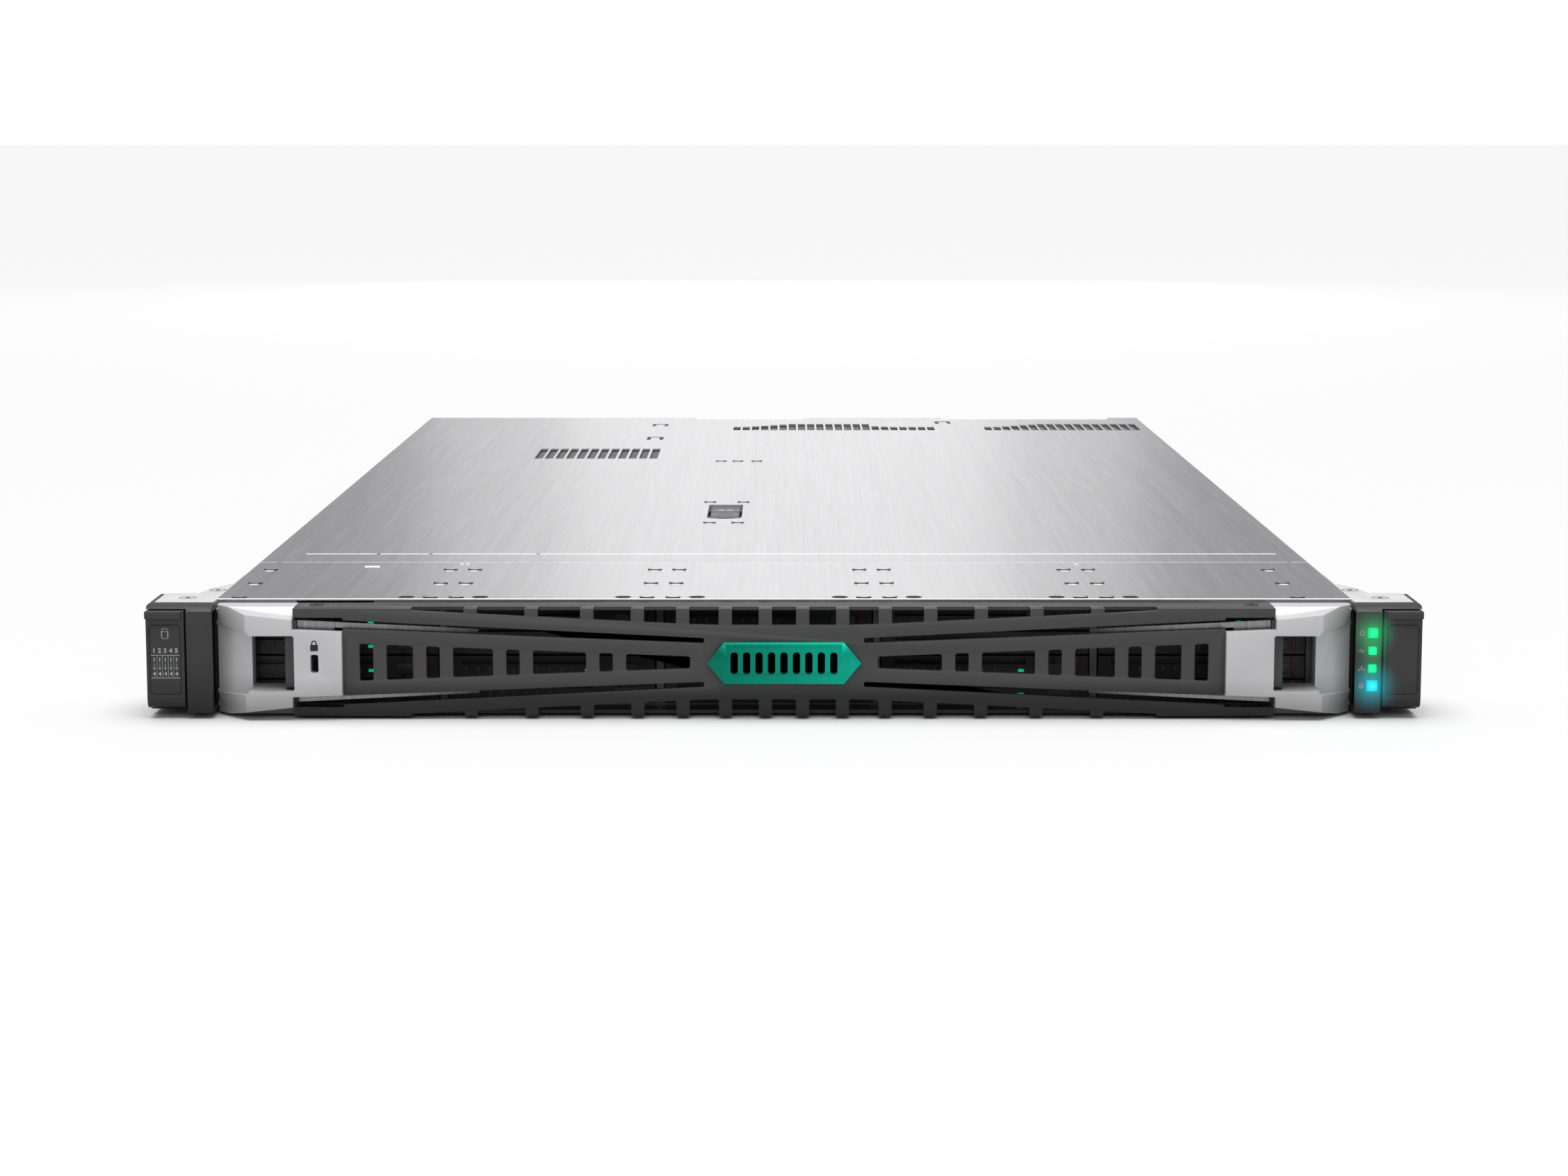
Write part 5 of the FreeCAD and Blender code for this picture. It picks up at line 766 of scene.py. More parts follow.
@dataclass(frozen=True)
class Print:
    """Thin printed marks on a face that looks along -Y."""

    face_y: float
    stroke: float = 0.25
    depth: float = 0.05
    type_size: float = 1.4
    type_weight: float = 0.045
    type_curve: int = 3
    turn_step: float = 15.0
    fewest_steps: int = 6
    merge: float = 0.002

    def line(self, x0: float, z0: float, x1: float, z1: float, width: float = 0.0) -> Piece:
        """A straight stroke.

        Args:
            x0: X of the start, in millimetres.
            z0: Z of the start.
            x1: X of the end.
            z1: Z of the end.
            width: the stroke's width, or 0 for the usual one.

        Returns:
            The stroke's object.
        """
        half = (width or self.stroke) / 2
        length = math.hypot(x1 - x0, z1 - z0)
        piece = block((-half, -self.depth, -half), (length + half, 0, half))
        piece.rotation_euler = (0, -math.atan2(z1 - z0, x1 - x0), 0)
        piece.location = mm(x0, self.face_y, z0)
        settle(piece)
        return piece

    def arc(self, x: float, z: float, radius: float, start: float = 0.0, sweep: float = 360.0,
            squash: float = 1.0) -> Piece:
        """A round stroke, spun from its section.

        Args:
            x: X of the centre, in millimetres.
            z: Z of the centre.
            radius: radius of the stroke's middle.
            start: angle of its start in degrees, from +X towards +Z.
            sweep: how far it turns.
            squash: height over width, for an ellipse.

        Returns:
            The stroke's object.
        """
        piece = added(bpy.ops.mesh.primitive_plane_add, size=1.0)
        piece.scale = mm(self.stroke, self.depth, 1.0)
        piece.location = mm(radius, -self.depth / 2, 0)
        settle(piece)
        only(piece)
        bpy.ops.object.mode_set(mode="EDIT")
        bpy.ops.mesh.select_all(action="SELECT")
        steps = max(self.fewest_steps, int(abs(sweep) / self.turn_step))
        bpy.ops.mesh.spin(steps=steps, angle=math.radians(sweep), center=(0, 0, 0), axis=(0, 1, 0))
        bpy.ops.mesh.select_all(action="SELECT")
        bpy.ops.mesh.remove_doubles(threshold=self.merge * MM)
        bpy.ops.mesh.normals_make_consistent(inside=False)
        bpy.ops.object.mode_set(mode="OBJECT")
        piece.rotation_euler = (0, -math.radians(start), 0)
        settle(piece)
        piece.scale = (1, 1, squash)
        piece.location = mm(x, self.face_y, z)
        settle(piece)
        return piece

    def number(self, text: str, x: float, z: float, height: float) -> Piece:
        """A plain number, centred on a place.

        Args:
            text: the digits.
            x: X of the centre, in millimetres.
            z: Z of the baseline.
            height: height of the digits.

        Returns:
            The number's object.
        """
        piece = added(bpy.ops.object.text_add)
        piece.data.body = text
        piece.data.align_x = "CENTER"
        piece.data.size = height * self.type_size * MM
        piece.data.extrude = self.depth / 2 * MM
        piece.data.offset = self.type_weight * height * MM
        piece.data.resolution_u = self.type_curve
        bpy.ops.object.convert(target="MESH")
        piece.rotation_euler = (math.pi / 2, 0, 0)
        piece.location = mm(x, self.face_y - self.depth / 2, z)
        settle(piece)
        return piece


# ---- sub-assemblies -----------------------------------------------------------------------------------
@dataclass
class Covers:
    """Fixed front cover and sliding access panel, the mesh under its vents and the latch's printing."""

    latch_sink: float = 0.6
    screen_pitch: float = 2.2
    screen_wire: float = 0.6
    screen_drop: float = 0.9
    screens: tuple[tuple[float, float, float, float], ...] = (
        (-137.0, -67.5, 513.5, 570.5), (-31.5, 91.0, 680.0, 723.0), (118.0, 213.0, 680.0, 723.0))
    mark_radius: float = 2.88
    mark_proud: float = 0.44
    mark_reach: float = 2.0
    rim_edge: float = 0.05
    rim_sides: int = 28
    sunk: float = 0.05
    level_normal: float = 0.6
    spill_gap: float = 1.4
    spill_radius: float = 1.9
    spill_proud: float = 0.02
    spill_margin: float = 8.0
    spill_sides: int = 20
    pilot_dots: tuple[float, ...] = (-133.0, -130.6, 120.7)
    pilot_y: float = 83.5
    pilot_radius: float = 0.85
    pilot_sunk: float = 0.5
    pilot_proud: float = 0.43
    pilot_edge: float = 0.35
    dot_sides: int = 16
    bridge_xs: tuple[float, ...] = (-171.5, -149.4, -104.0)
    bridge_half: float = 0.75
    bridge_depth: tuple[float, float] = (0.3, 0.9)
    bar_sunk: float = 0.1
    bar_proud: float = 0.03
    bar_edge: float = 0.02
    groove_y: float = 116.85
    seam_end: float = 209.4
    notch_depth: tuple[float, float] = (1.4, 0.1)
    field_size: tuple[float, float] = (2.65, 1.6)
    field_place: tuple[float, float] = (1.95, 11.0)
    dot_radius: float = 0.55
    dot_backs: tuple[float, float] = (24.2, 30.8)
    chevrons: tuple[tuple[float, float, float, float], ...] = (
        (3.15, 25.2, 1.05, 24.2), (3.05, 33.8, 0.95, 30.2))
    mark_stroke: float = 0.5
    print_sunk: float = 0.2
    print_proud: float = 0.04
    print_edge: float = 0.05

    def build(self) -> None:
        """Dresses both covers and adds the screens and the latch."""
        for node, body, slot, steel in (("front_top_cover", "chassis", "cover_steel", COVER_STEEL),
                                        ("access_panel", "access_panel", "panel_steel", PANEL_STEEL)):
            paint(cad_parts[node], steel)
            self.add_press_marks(node, body, steel)
        self.add_dots_and_bridges()
        self.add_screens()
        self.add_latch()

    def sheet_top(self) -> float:
        """Height of both covers' upper face, which lies just above the latch lever."""
        return node_box("hood_latch")[1].z + self.latch_sink

    def add_press_marks(self, node: str, body: str, steel: Finish) -> None:
        """An upright rim round each press mark with its sides in painted shade, and a painted highlight on
        the sheet in front of it.

        Args:
            node: the cover's node.
            body: the body it belongs to.
            steel: the cover's own finish, for the tops.
        """
        sheet_top = self.sheet_top()
        front = node_box("front_top_cover")[0].y + self.spill_margin
        under = Vector((0, 0, self.sunk))
        rims, painted_glints = [], []
        for top in round_tops(node, sheet_top + self.mark_proud, self.mark_reach):
            centre = Vector((top.x, top.y, sheet_top))
            raised = centre + Vector((0, 0, self.mark_proud))
            rims.append(rod(centre - under, raised, self.mark_radius, self.rim_edge, self.rim_sides))
            # A painted highlight lies on the sheet just in front of each mark.
            ahead = centre - Vector((0, self.mark_radius + self.spill_gap, 0))
            if ahead.y - self.spill_radius > front:
                lifted = ahead + Vector((0, 0, self.spill_proud))
                painted_glints.append(rod(ahead - under, lifted, self.spill_radius, sides=self.spill_sides))
        rim = joined(rims)
        # Upright faces take the painted shade; level tops take the cover's steel.
        for finish in (PAINTED_SHADE, steel):
            rim.data.materials.append(finish.build())
        for face in rim.data.polygons:
            face.material_index = 1 if face.normal.z > self.level_normal else 0
        keep(rim, node + "_press_rims", body)
        keep(joined(painted_glints), node + "_press_shine", body, PALE_STEEL_AND_HIGHLIGHT)

    def add_dots_and_bridges(self) -> None:
        """White pilot dots, and dark bars of painted shade for the bridges that break the pressed groove and
        the notches at the seam's ends.
        """
        top, half = self.sheet_top(), self.bridge_half
        dots = [rod((x, self.pilot_y, top - self.pilot_sunk), (x, self.pilot_y, top + self.pilot_proud),
                    self.pilot_radius, self.pilot_edge, self.dot_sides) for x in self.pilot_dots]
        keep(joined(dots), "cover_pilot_dots", "chassis", PALE_STEEL_AND_HIGHLIGHT)
        seam = node_box("front_top_cover")[1].y
        ends = [side * self.seam_end for side in (-1, 1)]
        for name, body, slot, xs, front, back in (
                ("panel_groove_bridges", "access_panel", "panel_steel", self.bridge_xs,
                 self.groove_y - self.bridge_depth[0], self.groove_y + self.bridge_depth[1]),
                ("cover_seam_notches", "chassis", "cover_steel", ends,
                 seam - self.notch_depth[0], seam - self.notch_depth[1])):
            bars = [block((x - half, front, top - self.bar_sunk), (x + half, back, top + self.bar_proud),
                          self.bar_edge) for x in xs]
            keep(joined(bars), name, body, PAINTED_SHADE)

    def add_screens(self) -> None:
        """Wire mesh fixed under each field of vent slots."""
        under = node_box("hood_latch")[1].z - self.screen_drop - self.screen_wire / 2
        meshes = []
        for x0, x1, y0, y1 in self.screens:
            columns, rows = (round((end - start) / self.screen_pitch) for start, end in ((x0, x1), (y0, y1)))
            mesh = added(bpy.ops.mesh.primitive_grid_add, x_subdivisions=columns, y_subdivisions=rows,
                         size=1.0)
            mesh.scale = mm(x1 - x0, y1 - y0, 1000.0)
            mesh.location = mm((x0 + x1) / 2, (y0 + y1) / 2, under)
            settle(mesh)
            apply_modifier(mesh, "WIREFRAME", thickness=self.screen_wire * MM, use_even_offset=False)
            meshes.append(mesh)
        keep(joined(meshes), "panel_vent_screens", "access_panel", SCREEN_STEEL)

    def add_latch(self) -> None:
        """Rounded latch lever with its printed fields, dots and chevrons."""
        stand_in("hood_latch", "hood_latch_lever", "hood_latch", LATCH_PLASTIC, 0.3)
        low, high = node_box("hood_latch")
        middle = (low.x + high.x) / 2
        pin_y = high.y - (high.z - low.z) / 2
        sunk, proud = high.z - self.print_sunk, high.z + self.print_proud
        wide, deep = self.field_size
        apart, back = self.field_place
        fields = [block((middle + side * apart - wide / 2, pin_y - back - deep / 2, sunk),
                        (middle + side * apart + wide / 2, pin_y - back + deep / 2, proud), self.print_edge)
                  for side in (-1, 1)]
        keep(joined(fields), "hood_latch_fields", "hood_latch", WHITE_PRINT)
        marks = [rod((middle, pin_y - back, sunk), (middle, pin_y - back, proud), self.dot_radius,
                     sides=self.dot_sides) for back in self.dot_backs]
        for side in (-1, 1):
            for x, y, end_x, end_y in self.chevrons:
                marks.append(self.stroke(Vector((middle + side * x, pin_y - y, 0)),
                                         Vector((middle + side * end_x, pin_y - end_y, 0)), sunk, proud))
        keep(joined(marks), "hood_latch_marks", "hood_latch", DARK_INK_AND_SHADE)

    def stroke(self, start: Vector, end: Vector, low: float, high: float) -> Piece:
        """One printed stroke on a level face.

        Args:
            start: its start, in millimetres.
            end: its end.
            low: height of its underside.
            high: height of its top.

        Returns:
            The stroke's object.
        """
        along, half = end - start, self.mark_stroke / 2
        piece = block((-half, -half, low), (along.length + half, half, high), self.print_edge)
        piece.rotation_euler = (0, 0, math.atan2(along.y, along.x))
        piece.location = mm(start.x, start.y, 0)
        settle(piece)
        return piece


@dataclass
class DressedSolids:
    """Solids that only need a finish, each named in full or by how its name starts."""

    finishes: dict[str, Finish]

    def build(self) -> None:
        """Dresses every solid that the names call."""
        for start, finish in self.finishes.items():
            for node in [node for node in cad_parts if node.startswith(start)]:
                paint(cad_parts[node], finish)
                LOG.info("dressed %s", node)


@dataclass
class Chassis(DressedSolids):
    """Tub, cage, studs and the metal of the rear wall."""

    finishes: dict[str, Finish] = field(default_factory=lambda: {
        "chassis_tub": CHASSIS_ZINC, "drive_cage": CAGE_STEEL, "rail_studs": BRIGHT_STEEL,
        "riser_cages": REAR_ZINC, "network_adapter": REAR_ZINC, "rear_port_shells": BRIGHT_STEEL,
        "front_port_panel": DARK_PLASTIC})


@dataclass
class Interior(DressedSolids):
    """Boards, heat sinks, memory and fans, seen only through openings."""

    finishes: dict[str, Finish] = field(default_factory=lambda: {
        "system_board": BOARD, "drive_backplane": BOARD, "memory_modules": CHIP,
        "processor_heatsinks": FIN_METAL, "fan_housings": DARK_PLASTIC, "fan_rotor_": DARK_PLASTIC})


@dataclass
class Bezel:
    """Slatted moulding with its green insert, brushed strips and silver grips."""

    frame_edge: float = 0.32
    grip_edge: float = 0.45
    insert_edge: float = 0.5
    cap_radius: float = 2.45
    cap_proud: float = 0.06
    cap_sunk: float = 0.3
    cap_edge: float = 0.1
    rim_gap: float = 0.1
    rim_lift: float = 0.05
    rim_wire: float = 0.3
    socket_share: float = 0.35
    padlock_place: tuple[float, float] = (-177.0, 26.6)
    shackle_radius: float = 0.85

    def build(self) -> None:
        """Rounds and dresses the bezel's pieces and prints the padlock."""
        stand_in("bezel_frame", "bezel_moulding", "bezel", BEZEL_PLASTIC, self.frame_edge)
        stand_in("bezel_centre_vent", "bezel_vent_insert", "bezel", ACCENT_GREEN,
                 self.insert_edge, 3)
        for side in ("left", "right"):
            stand_in("bezel_grip_" + side, "bezel_handle_" + side, "bezel", GRIP_SILVER,
                     self.grip_edge, 3)
        paint(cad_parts["bezel_strip_plates"], STRIP_METAL)
        paint(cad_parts["bezel_fasteners"], BRIGHT_STEEL)
        self.cap_screws()
        self.print_padlock()

    def cap_screws(self) -> None:
        """Dark caps on the two screws in the bezel's top, with rings of painted shade round each cap and for
        its small socket.
        """
        top = node_box("bezel_fasteners")[1].z
        places = round_tops("bezel_fasteners", top - 0.02, self.cap_radius)
        sunk, proud = Vector((0, 0, self.cap_sunk)), Vector((0, 0, self.cap_proud))
        caps = [rod(place - sunk, place + proud, self.cap_radius, self.cap_edge) for place in places]
        keep(joined(caps), "bezel_screw_caps", "bezel", BEZEL_PLASTIC)
        radii = self.cap_radius + self.rim_gap, self.cap_radius * self.socket_share
        sockets = [ring(place + Vector((0, 0, self.rim_lift)), radius, self.rim_wire)
                   for place in places for radius in radii]
        keep(joined(sockets), "bezel_screw_rims", "bezel", DARK_INK_AND_SHADE)

    def print_padlock(self) -> None:
        """A plain padlock over the lock slot."""
        ink = Print(face_y=node_box("bezel_grip_left")[0].y, stroke=0.42)
        x, z = self.padlock_place
        reach = self.shackle_radius
        marks = [ink.line(x - 0.25, z + 1.1, x + 0.25, z + 1.1, 2.4), ink.arc(x, z + 2.9, reach, 0.0, 180.0)]
        marks += [ink.line(x + s * reach, z + 2.2, x + s * reach, z + 2.9) for s in (-1, 1)]
        keep(joined(marks), "grip_padlock_print", "bezel", DARK_INK_AND_SHADE)


@dataclass
class Ears:
    """Rack ears with their levers, labels, buttons and lights."""

    casing_edge: float = 0.4
    lever_edge: float = 0.5
    bracket_edge: float = 0.2
    button_edge: float = 0.25
    screw_across: float = 6.2
    socket_radius: float = 0.8
    rim_wire: float = 0.35
    lever_wall: float = 1.6
    lever_gap: float = 0.8
    label_top: float = 33.9
    disk_size: tuple[float, float] = (1.2, 2.7)
    column_pitch: float = 2.12
    columns: int = 5
    rules_z: tuple[float, float] = (24.3, 15.6)
    icon_x: float = 218.4
    icon_radius: float = 0.85

    def build(self) -> None:
        """Builds both ears."""
        # Painted light: each lit button spills an emitted glow onto the right ear's moulding and lever.
        spills = tuple(
            GlowSpill(tuple(self.face_centre(node, index)), colour, reach, strength)
            for node, index, colour, reach, strength in (
                ("power_button", 0, GREEN_GLOW, 11.0, 0.42), ("status_lenses", 1, GREEN_GLOW, 8.0, 0.22),
                ("status_lenses", -1, GREEN_GLOW, 8.0, 0.18), ("uid_button", 0, CYAN_GLOW, 12.0, 0.42)))
        glow, lever_glow = (SpillPlastic(**{**vars(plain), "name": plain.name + "_lit", "spills": spills})
                            for plain in (EAR_PLASTIC, LEVER_PLASTIC))
        for side, casing, lever in (("left", EAR_PLASTIC, LEVER_PLASTIC), ("right", glow, lever_glow)):
            lever_node = "ear_lever_" + side
            stand_in("ear_casing_" + side, "ear_moulding_" + side, "chassis", casing,
                     self.casing_edge, 3)
            stand_in(lever_node, "ear_latch_" + side, lever_node, lever, self.lever_edge, 3)
            stand_in("ear_bracket_" + side, "ear_metal_" + side, "chassis", EAR_METAL,
                     self.bracket_edge)
        paint(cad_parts["ear_screws"], EAR_METAL)
        self.ring_screws()
        self.light_buttons()
        self.print_left_label()
        self.print_icons()

    def ring_screws(self) -> None:
        """Rings of painted shade at the rim and the socket of each countersunk screw on the brackets."""
        top, reach = node_box("ear_screws")[1].z, self.screw_across / 2
        rims = [ring(place, radius, self.rim_wire) for place in round_tops("ear_screws", top - 0.05, reach)
                for radius in (reach, self.socket_radius)]
        keep(joined(rims), "ear_screw_rims", "chassis", PAINTED_SHADE)

    def face_centre(self, node: str, step: int) -> Vector:
        """Centre of a button's face, or of one of the lenses above and below their common middle.

        Args:
            node: the solid's name.
            step: 0 for the whole solid, 1 for its upper lens, -1 for its lower one.

        Returns:
            The centre, in millimetres.
        """
        low, high = node_box(node)
        width = high.x - low.x
        middle = (low.z + high.z) / 2 + step * (high.z - low.z - width) / 2
        return Vector(((low.x + high.x) / 2, low.y, middle))

    def light_buttons(self) -> None:
        """Rounded lit caps for both buttons and the two lenses."""
        green = ((0.0, 0.10, 0.03), (0.0, 0.74, 0.10), (0.015, 0.95, 0.50))
        cyan = ((0.0, 0.10, 0.12), (0.0, 0.62, 0.74), (0.05, 0.95, 0.95))
        for node, body, slot, steps, (base, glow, core) in (
                ("power_button", "power_button", "lit_button_green", (0,), green),
                ("uid_button", "uid_button", "lit_button_cyan", (0,), cyan),
                ("status_lenses", "chassis", "lit_button_green", (1, -1), green)):
            lamps = tuple(tuple(self.face_centre(node, step)) for step in steps)
            finish = LitPlastic("lit_" + node, base, 0.35, glow=glow, core=core, lamps_mm=lamps)
            stand_in(node, node + "_cap", body, finish, self.button_edge, 3)

    def print_left_label(self) -> None:
        """Disk symbol over five numbered columns, each counting down through the rows of its bay."""
        low, high = node_box("ear_lever_left")
        x = (high.x - (self.lever_wall + self.lever_gap) + low.x) / 2
        ink = Print(face_y=node_box("ear_casing_left")[0].y, stroke=0.36)
        radius, tall = self.disk_size
        top, bottom = self.label_top, self.label_top - tall
        marks = [ink.arc(x, top, radius, squash=0.5), ink.arc(x, bottom, radius, 180.0, 180.0, 0.5)]
        marks += [ink.line(x + s * radius, top, x + s * radius, bottom) for s in (-1, 1)]
        pitch = self.column_pitch
        upper, lower = self.rules_z
        for index in range(self.columns):
            column = x + (index - 2) * pitch
            marks += [ink.number(text, column, z, height) for text, z, height in (
                (str(index + 1), upper + 1.0, 1.7), ("1", upper - 2.4, 1.5), ("4", lower + 0.9, 1.5))]
            marks.append(ink.line(column, upper - 3.2, column, lower + 3.6, 0.16))
            marks += [ink.line(column, lower + 3.1, column + s * 0.45, lower + 3.9, 0.16) for s in (-1, 1)]
        half = self.columns / 2 * pitch
        marks += [ink.line(x - half, z, x + half, z, 0.22) for z in self.rules_z]
        marks += [ink.line(x + (i - 1.5) * pitch, lower, x + (i - 1.5) * pitch, upper, 0.12)
                  for i in range(self.columns - 1)]
        keep(joined(marks), "left_label_print", "ear_lever_left", INK_GREY)

    def print_icons(self) -> None:
        """Power, activity, network and locator symbols beside the buttons."""
        ink = Print(face_y=node_box("ear_casing_right")[0].y, stroke=0.2)
        x, radius = self.icon_x, self.icon_radius
        power, beat, net, locator = (self.face_centre(node, step).z for node, step in (
            ("power_button", 0), ("status_lenses", 1), ("status_lenses", -1), ("uid_button", 0)))
        marks = [ink.arc(x, power, radius, 120.0, 300.0), ink.line(x, power + 0.35, x, power + 1.25)]
        pulse = [(-1.2, 0), (-0.55, 0), (-0.25, 0.8), (0.15, -0.8), (0.5, 0), (1.2, 0)]
        marks += [ink.line(x + a[0], beat + a[1], x + b[0], beat + b[1]) for a, b in zip(pulse, pulse[1:])]
        marks += [ink.line(x + dx, net + dz, x + dx + 0.01, net + dz, 0.55)
                  for dx, dz in ((-0.9, -0.4), (0.9, -0.4), (0, 0.55))]
        marks += [ink.line(x - 0.9, net - 0.4, x + 0.9, net - 0.4, 0.14),
                  ink.line(x, net - 0.4, x, net + 0.5, 0.14)]
        marks += [ink.arc(x, locator, radius), ink.arc(x, locator, 0.25)]
        keep(joined(marks), "right_strip_icons", "chassis", INK_GREY)


@dataclass
class DriveBay:
    """Fronts of the twenty drives: release lever, stripe, light and grille bars.

    The shares are of half the drive's height, below and above its middle.
    """

    edge: float = 0.3
    sunk: float = 0.1
    release_span: tuple[float, float] = (16.0, 6.5)
    release_proud: float = 0.9
    release_shares: tuple[float, float] = (0.62, 0.35)
    stripe_inset: float = 5.2
    stripe_width: float = 1.6
    stripe_proud: float = 0.7
    stripe_share: float = 0.9
    light_inset: float = 25.8
    light_half: float = 1.1
    light_proud: float = 0.35
    light_drop: tuple[float, float] = (1.9, 0.8)
    bar_count: int = 9
    bar_inset: float = 6.0
    bar_pitch: float = 4.6
    bar_width: float = 1.3
    bar_proud: float = 0.5
    bar_shares: tuple[float, float] = (0.72, 0.05)

    def build(self) -> None:
        """Dresses each drive and adds its front's details."""
        names = sorted(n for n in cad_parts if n.startswith("drive_") and n[-1].isdigit())
        for name in names:
            paint(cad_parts[name], DRIVE_FACE)
            self.add_front(name)
        LOG.info("dressed %d drives", len(names))

    def add_front(self, name: str) -> None:
        """Release lever, stripe, pilot light and grille bars on one drive's face.

        Args:
            name: the drive's node and body.
        """
        low, high = node_box(name)
        back, middle = low.y + self.sunk, (low.z + high.z) / 2
        half = (high.z - low.z) / 2
        release, stripe = high.x - self.release_span[0], high.x - self.stripe_inset
        light = high.x - self.light_inset
        lower, upper = self.light_drop
        for part, finish, x0, x1, proud, z0, z1, edge in (
                ("_release", DRIVE_RELEASE, release, high.x - self.release_span[1], self.release_proud,
                 middle - half * self.release_shares[0], middle + half * self.release_shares[1], self.edge),
                ("_stripe", MAROON, stripe, stripe + self.stripe_width, self.stripe_proud,
                 middle - half * self.stripe_share, middle + half * self.stripe_share, self.edge / 2),
                ("_light", PILOT_GREEN, light - self.light_half, light + self.light_half, self.light_proud,
                 middle - lower, middle - upper, self.edge / 2)):
            plate = block((x0, low.y - proud, z0), (x1, back, z1), edge)
            keep(plate, name + part, name, finish)
        starts = [low.x + self.bar_inset + index * self.bar_pitch for index in range(self.bar_count)]
        bars = [block((start, low.y - self.bar_proud, middle - half * self.bar_shares[0]),
                      (start + self.bar_width, back, middle + half * self.bar_shares[1]), self.edge / 2)
                for start in starts]
        keep(joined(bars), name + "_grille", name, DRIVE_RELEASE)


@dataclass
class PowerSupplies:
    """Both power supplies with the inlet's liner and blades and a pilot light."""

    case_edge: float = 0.35
    rear_y: float = 761.0
    inlet_inset: tuple[float, float] = (16.4, 12.7)
    inlet_size: tuple[float, float] = (26.6, 19.2)
    inlet_wall: float = 1.5
    inlet_depth: float = 15.4
    inlet_floor: float = 0.8
    inlet_proud: float = 0.6
    inlet_edge: float = 0.2
    floor_edge: float = 0.1
    pin_size: tuple[float, float] = (2.0, 6.3)
    pin_places: tuple[tuple[float, float], ...] = ((-7.0, -1.6), (0.0, 1.8), (7.0, -1.6))
    pin_setback: float = 3.0
    pin_edge: float = 0.4
    light_radius: float = 1.1
    light_offset: float = 17.5
    light_drop: float = 6.0
    light_sunk: float = 0.2
    light_proud: float = 0.4
    light_edge: float = 0.2

    def build(self) -> None:
        """Rounds both supplies and adds what sits in and on their rear faces."""
        for index in (1, 2):
            name = "power_supply_%d" % index
            stand_in(name, name + "_case", name, SUPPLY_ZINC, self.case_edge)
            self.add_inlet(name)

    def add_inlet(self, name: str) -> None:
        """Black liner, three blades and a pilot light.

        Args:
            name: the supply's node and body.
        """
        low, high = node_box(name)
        rear, wall = self.rear_y, self.inlet_wall
        x, z = low.x + self.inlet_inset[0], low.z + self.inlet_inset[1]
        half_x, half_z = (size / 2 for size in self.inlet_size)
        left, right, under, over = x - half_x, x + half_x, z - half_z, z + half_z
        bottom, mouth = rear - self.inlet_depth, rear + self.inlet_proud
        walls = [block((x0, bottom, z0), (x1, mouth, z1), self.inlet_edge) for x0, x1, z0, z1 in (
            (left, left + wall, under, over), (right - wall, right, under, over),
            (left, right, under, under + wall), (left, right, over - wall, over))]
        walls.append(block((left, bottom, under), (right, bottom + self.inlet_floor, over), self.floor_edge))
        keep(joined(walls), name + "_inlet_liner", name, DARK_PLASTIC)
        width, height = (size / 2 for size in self.pin_size)
        pins = [block((x + dx - width, bottom, z + dz - height),
                      (x + dx + width, rear - self.pin_setback, z + dz + height), self.pin_edge)
                for dx, dz in self.pin_places]
        keep(joined(pins), name + "_inlet_blades", name, BRIGHT_STEEL)
        light_x, light_z = x + self.light_offset, high.z - self.light_drop
        light = rod((light_x, rear - self.light_sunk, light_z), (light_x, rear + self.light_proud, light_z),
                    self.light_radius, self.light_edge)
        keep(light, name + "_light", name, PILOT_GREEN)


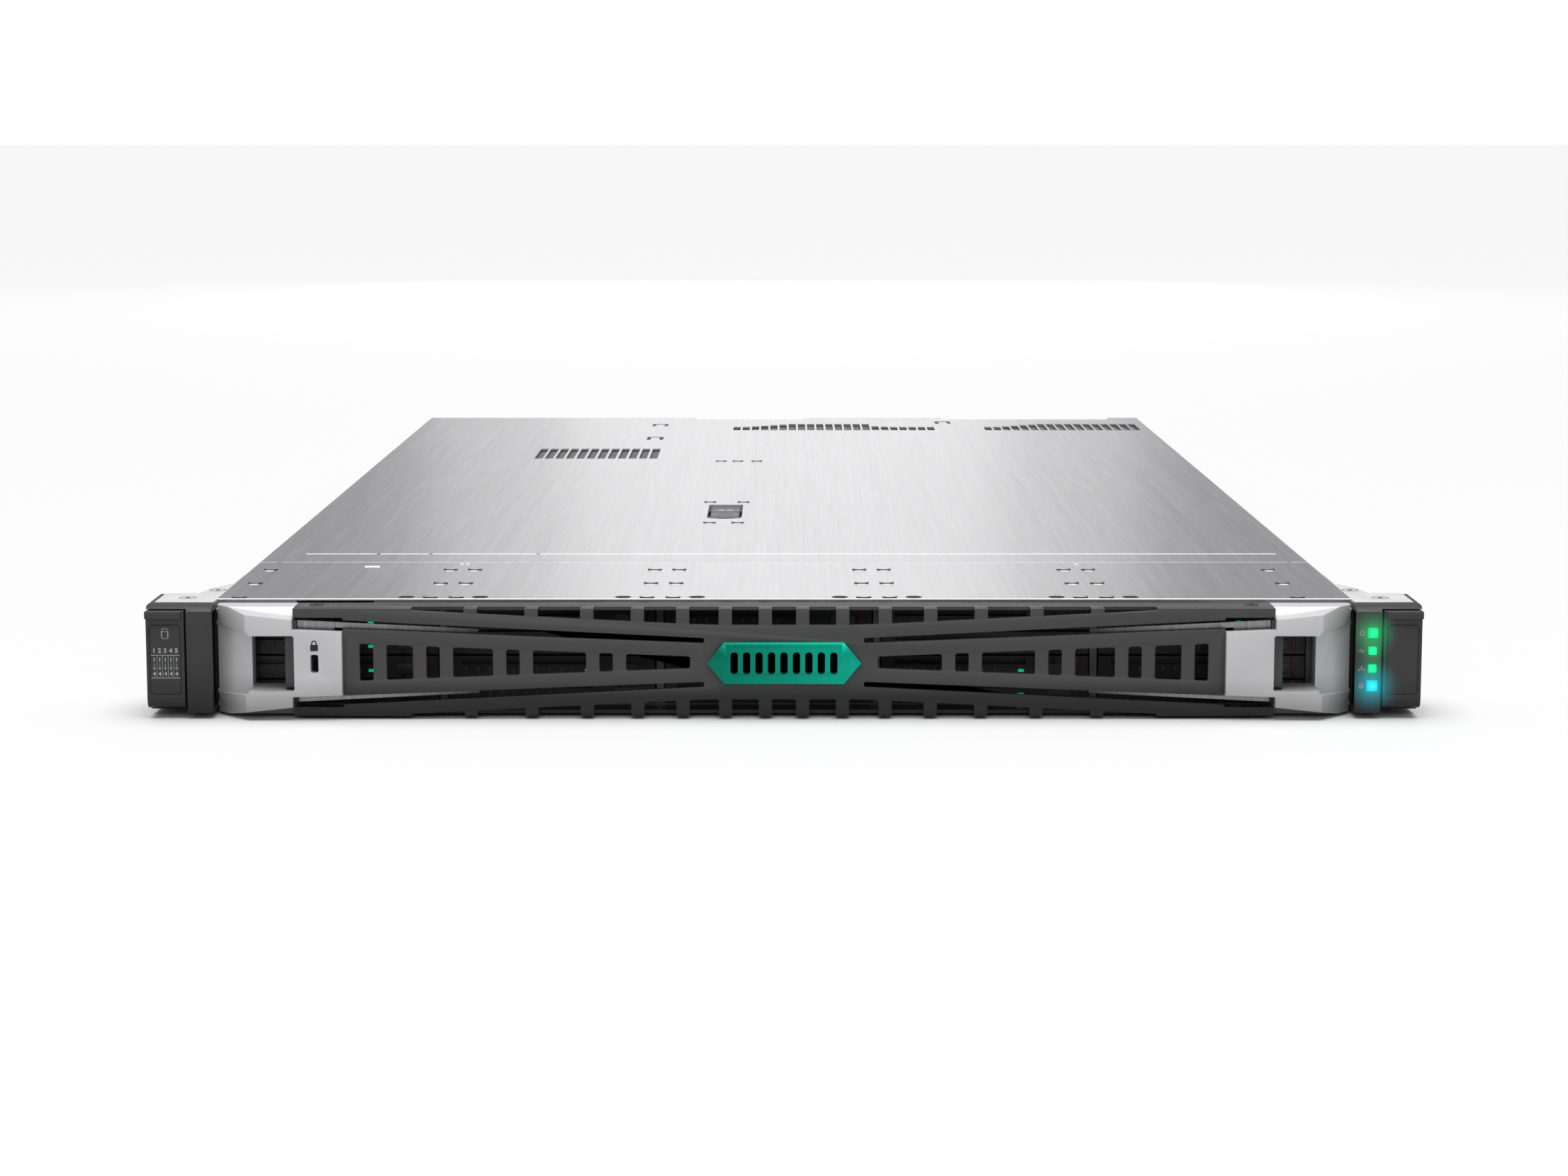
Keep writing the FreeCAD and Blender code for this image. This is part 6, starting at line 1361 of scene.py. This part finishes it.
# ---- studio ---------------------------------------------------------------------------------------------
@dataclass
class Studio:
    """Pale floor, soft lights and the camera, in metres."""

    floor_half: float = 30.0
    floor_drop: float = 0.0002
    floor_tone: float = 0.80
    floor_bounce: float = 0.45
    floor_roughness: float = 0.9
    floor_specular: float = 0.1
    surround: Colour = (0.27, 0.27, 0.275)
    camera_place: tuple[float, float, float] = (0.0, -1.26791, 0.22429)
    camera_pitch: float = 8.054
    lens_mm: float = 75.79
    sensor_mm: float = 36.0
    clip_near: float = 0.01
    sun_power: float = 2.9
    sun_spread: float = 62.0
    sun_tilt: float = 4.0
    cards: tuple[tuple[str, Colour, Colour, tuple[float, float], float], ...] = (
        ("back_card", (0.0, 3.2, 0.75), (0.0, 0.3, 0.04), (0.60, 1.5), 1.05),
        ("back_glow", (0.0, 3.25, 0.75), (0.0, 0.3, 0.04), (1.0, 1.5), 1.9),
        ("front_box", (0.0, -2.6, 1.3), (0.0, 0.0, 0.02), (3.0, 1.0), 13.5))

    def build(self) -> None:
        """Sets the floor, world, lamps and camera."""
        self.add_floor()
        self.set_world()
        self.add_lamps()
        self.add_camera()

    def add_floor(self) -> None:
        """A wide matt floor just under the server."""
        floor = added(bpy.ops.mesh.primitive_plane_add, size=2 * self.floor_half,
                      location=(0, 0, -self.floor_drop))
        floor.name = "floor"
        floor.data.materials.append(self.floor_paper())

    def floor_paper(self) -> Material:
        """Matt paper, paler to the camera than to the light that it throws back up.

        Returns:
            The floor's material.
        """
        material = bpy.data.materials.new("floor_paper")
        material.use_nodes = True
        wiring = Wiring(material.node_tree)
        shader = material.node_tree.nodes["Principled BSDF"]
        shader.inputs["Roughness"].default_value = self.floor_roughness
        shader.inputs["Specular IOR Level"].default_value = self.floor_specular
        path = wiring.add("ShaderNodeLightPath")
        bounce, seen = (self.floor_bounce,) * 3, (self.floor_tone,) * 3
        wiring.link(wiring.blend(path.outputs["Is Camera Ray"], bounce, seen), shader.inputs["Base Color"])
        return material

    def set_world(self) -> None:
        """An even grey surround for reflections, white where the camera looks past the floor."""
        scene = bpy.context.scene
        scene.view_settings.view_transform = "Standard"
        world = bpy.data.worlds.new("surround")
        scene.world = world
        world.use_nodes = True
        wiring = Wiring(world.node_tree)
        ground = world.node_tree.nodes["Background"]
        ground.inputs["Color"].default_value = (*self.surround, 1.0)
        white = wiring.add("ShaderNodeBackground")
        white.inputs["Color"].default_value = (1.0, 1.0, 1.0, 1.0)
        path = wiring.add("ShaderNodeLightPath")
        mix = wiring.add("ShaderNodeMixShader")
        sources = path.outputs["Is Camera Ray"], ground.outputs[0], white.outputs[0]
        for source, socket in zip(sources, mix.inputs):
            wiring.link(source, socket)
        wiring.link(mix.outputs[0], world.node_tree.nodes["World Output"].inputs["Surface"])

    def lamp(self, name: str, place: Vector, aim: Vector, size: tuple[float, float], power: float) -> None:
        """A rectangular soft lamp that the camera doesn't see.

        Args:
            name: the lamp's name.
            place: its centre, in metres.
            aim: the point it faces.
            size: its width and height.
            power: its power in watts.
        """
        data = bpy.data.lights.new(name, "AREA")
        data.shape = "RECTANGLE"
        data.size, data.size_y = size
        data.energy = power
        lamp = bpy.data.objects.new(name, data)
        lamp.location = place
        lamp.rotation_euler = (aim - place).to_track_quat("-Z", "Y").to_euler()
        lamp.visible_camera = False
        bpy.context.scene.collection.objects.link(lamp)

    def add_lamps(self) -> None:
        """Overhead sun-like key, two cards behind for the covers and a wide box in front."""
        key = bpy.data.lights.new("key", "SUN")
        key.energy = self.sun_power
        key.angle = math.radians(self.sun_spread)
        sun = bpy.data.objects.new("key", key)
        sun.rotation_euler = (math.radians(self.sun_tilt), 0, 0)
        bpy.context.scene.collection.objects.link(sun)
        for name, place, aim, size, power in self.cards:
            self.lamp(name, Vector(place), Vector(aim), size, power)

    def add_camera(self) -> None:
        """The camera, in front and a little above, looking slightly down."""
        data = bpy.data.cameras.new("camera")
        data.lens = self.lens_mm
        data.sensor_width = self.sensor_mm
        data.clip_start = self.clip_near
        camera = bpy.data.objects.new("camera", data)
        camera.location = self.camera_place
        camera.rotation_euler = (math.radians(90.0 - self.camera_pitch), 0, 0)
        bpy.context.scene.collection.objects.link(camera)
        bpy.context.scene.camera = camera


def main() -> None:
    """Builds and dresses every sub-assembly in order."""
    logging.basicConfig(level=logging.INFO, format="%(message)s")
    for assembly in (Chassis(), Interior(), Covers(), DriveBay(), Bezel(), Ears(), PowerSupplies(), Studio()):
        LOG.info("building %s", type(assembly).__name__)
        assembly.build()


if __name__ == "__main__":
    main()
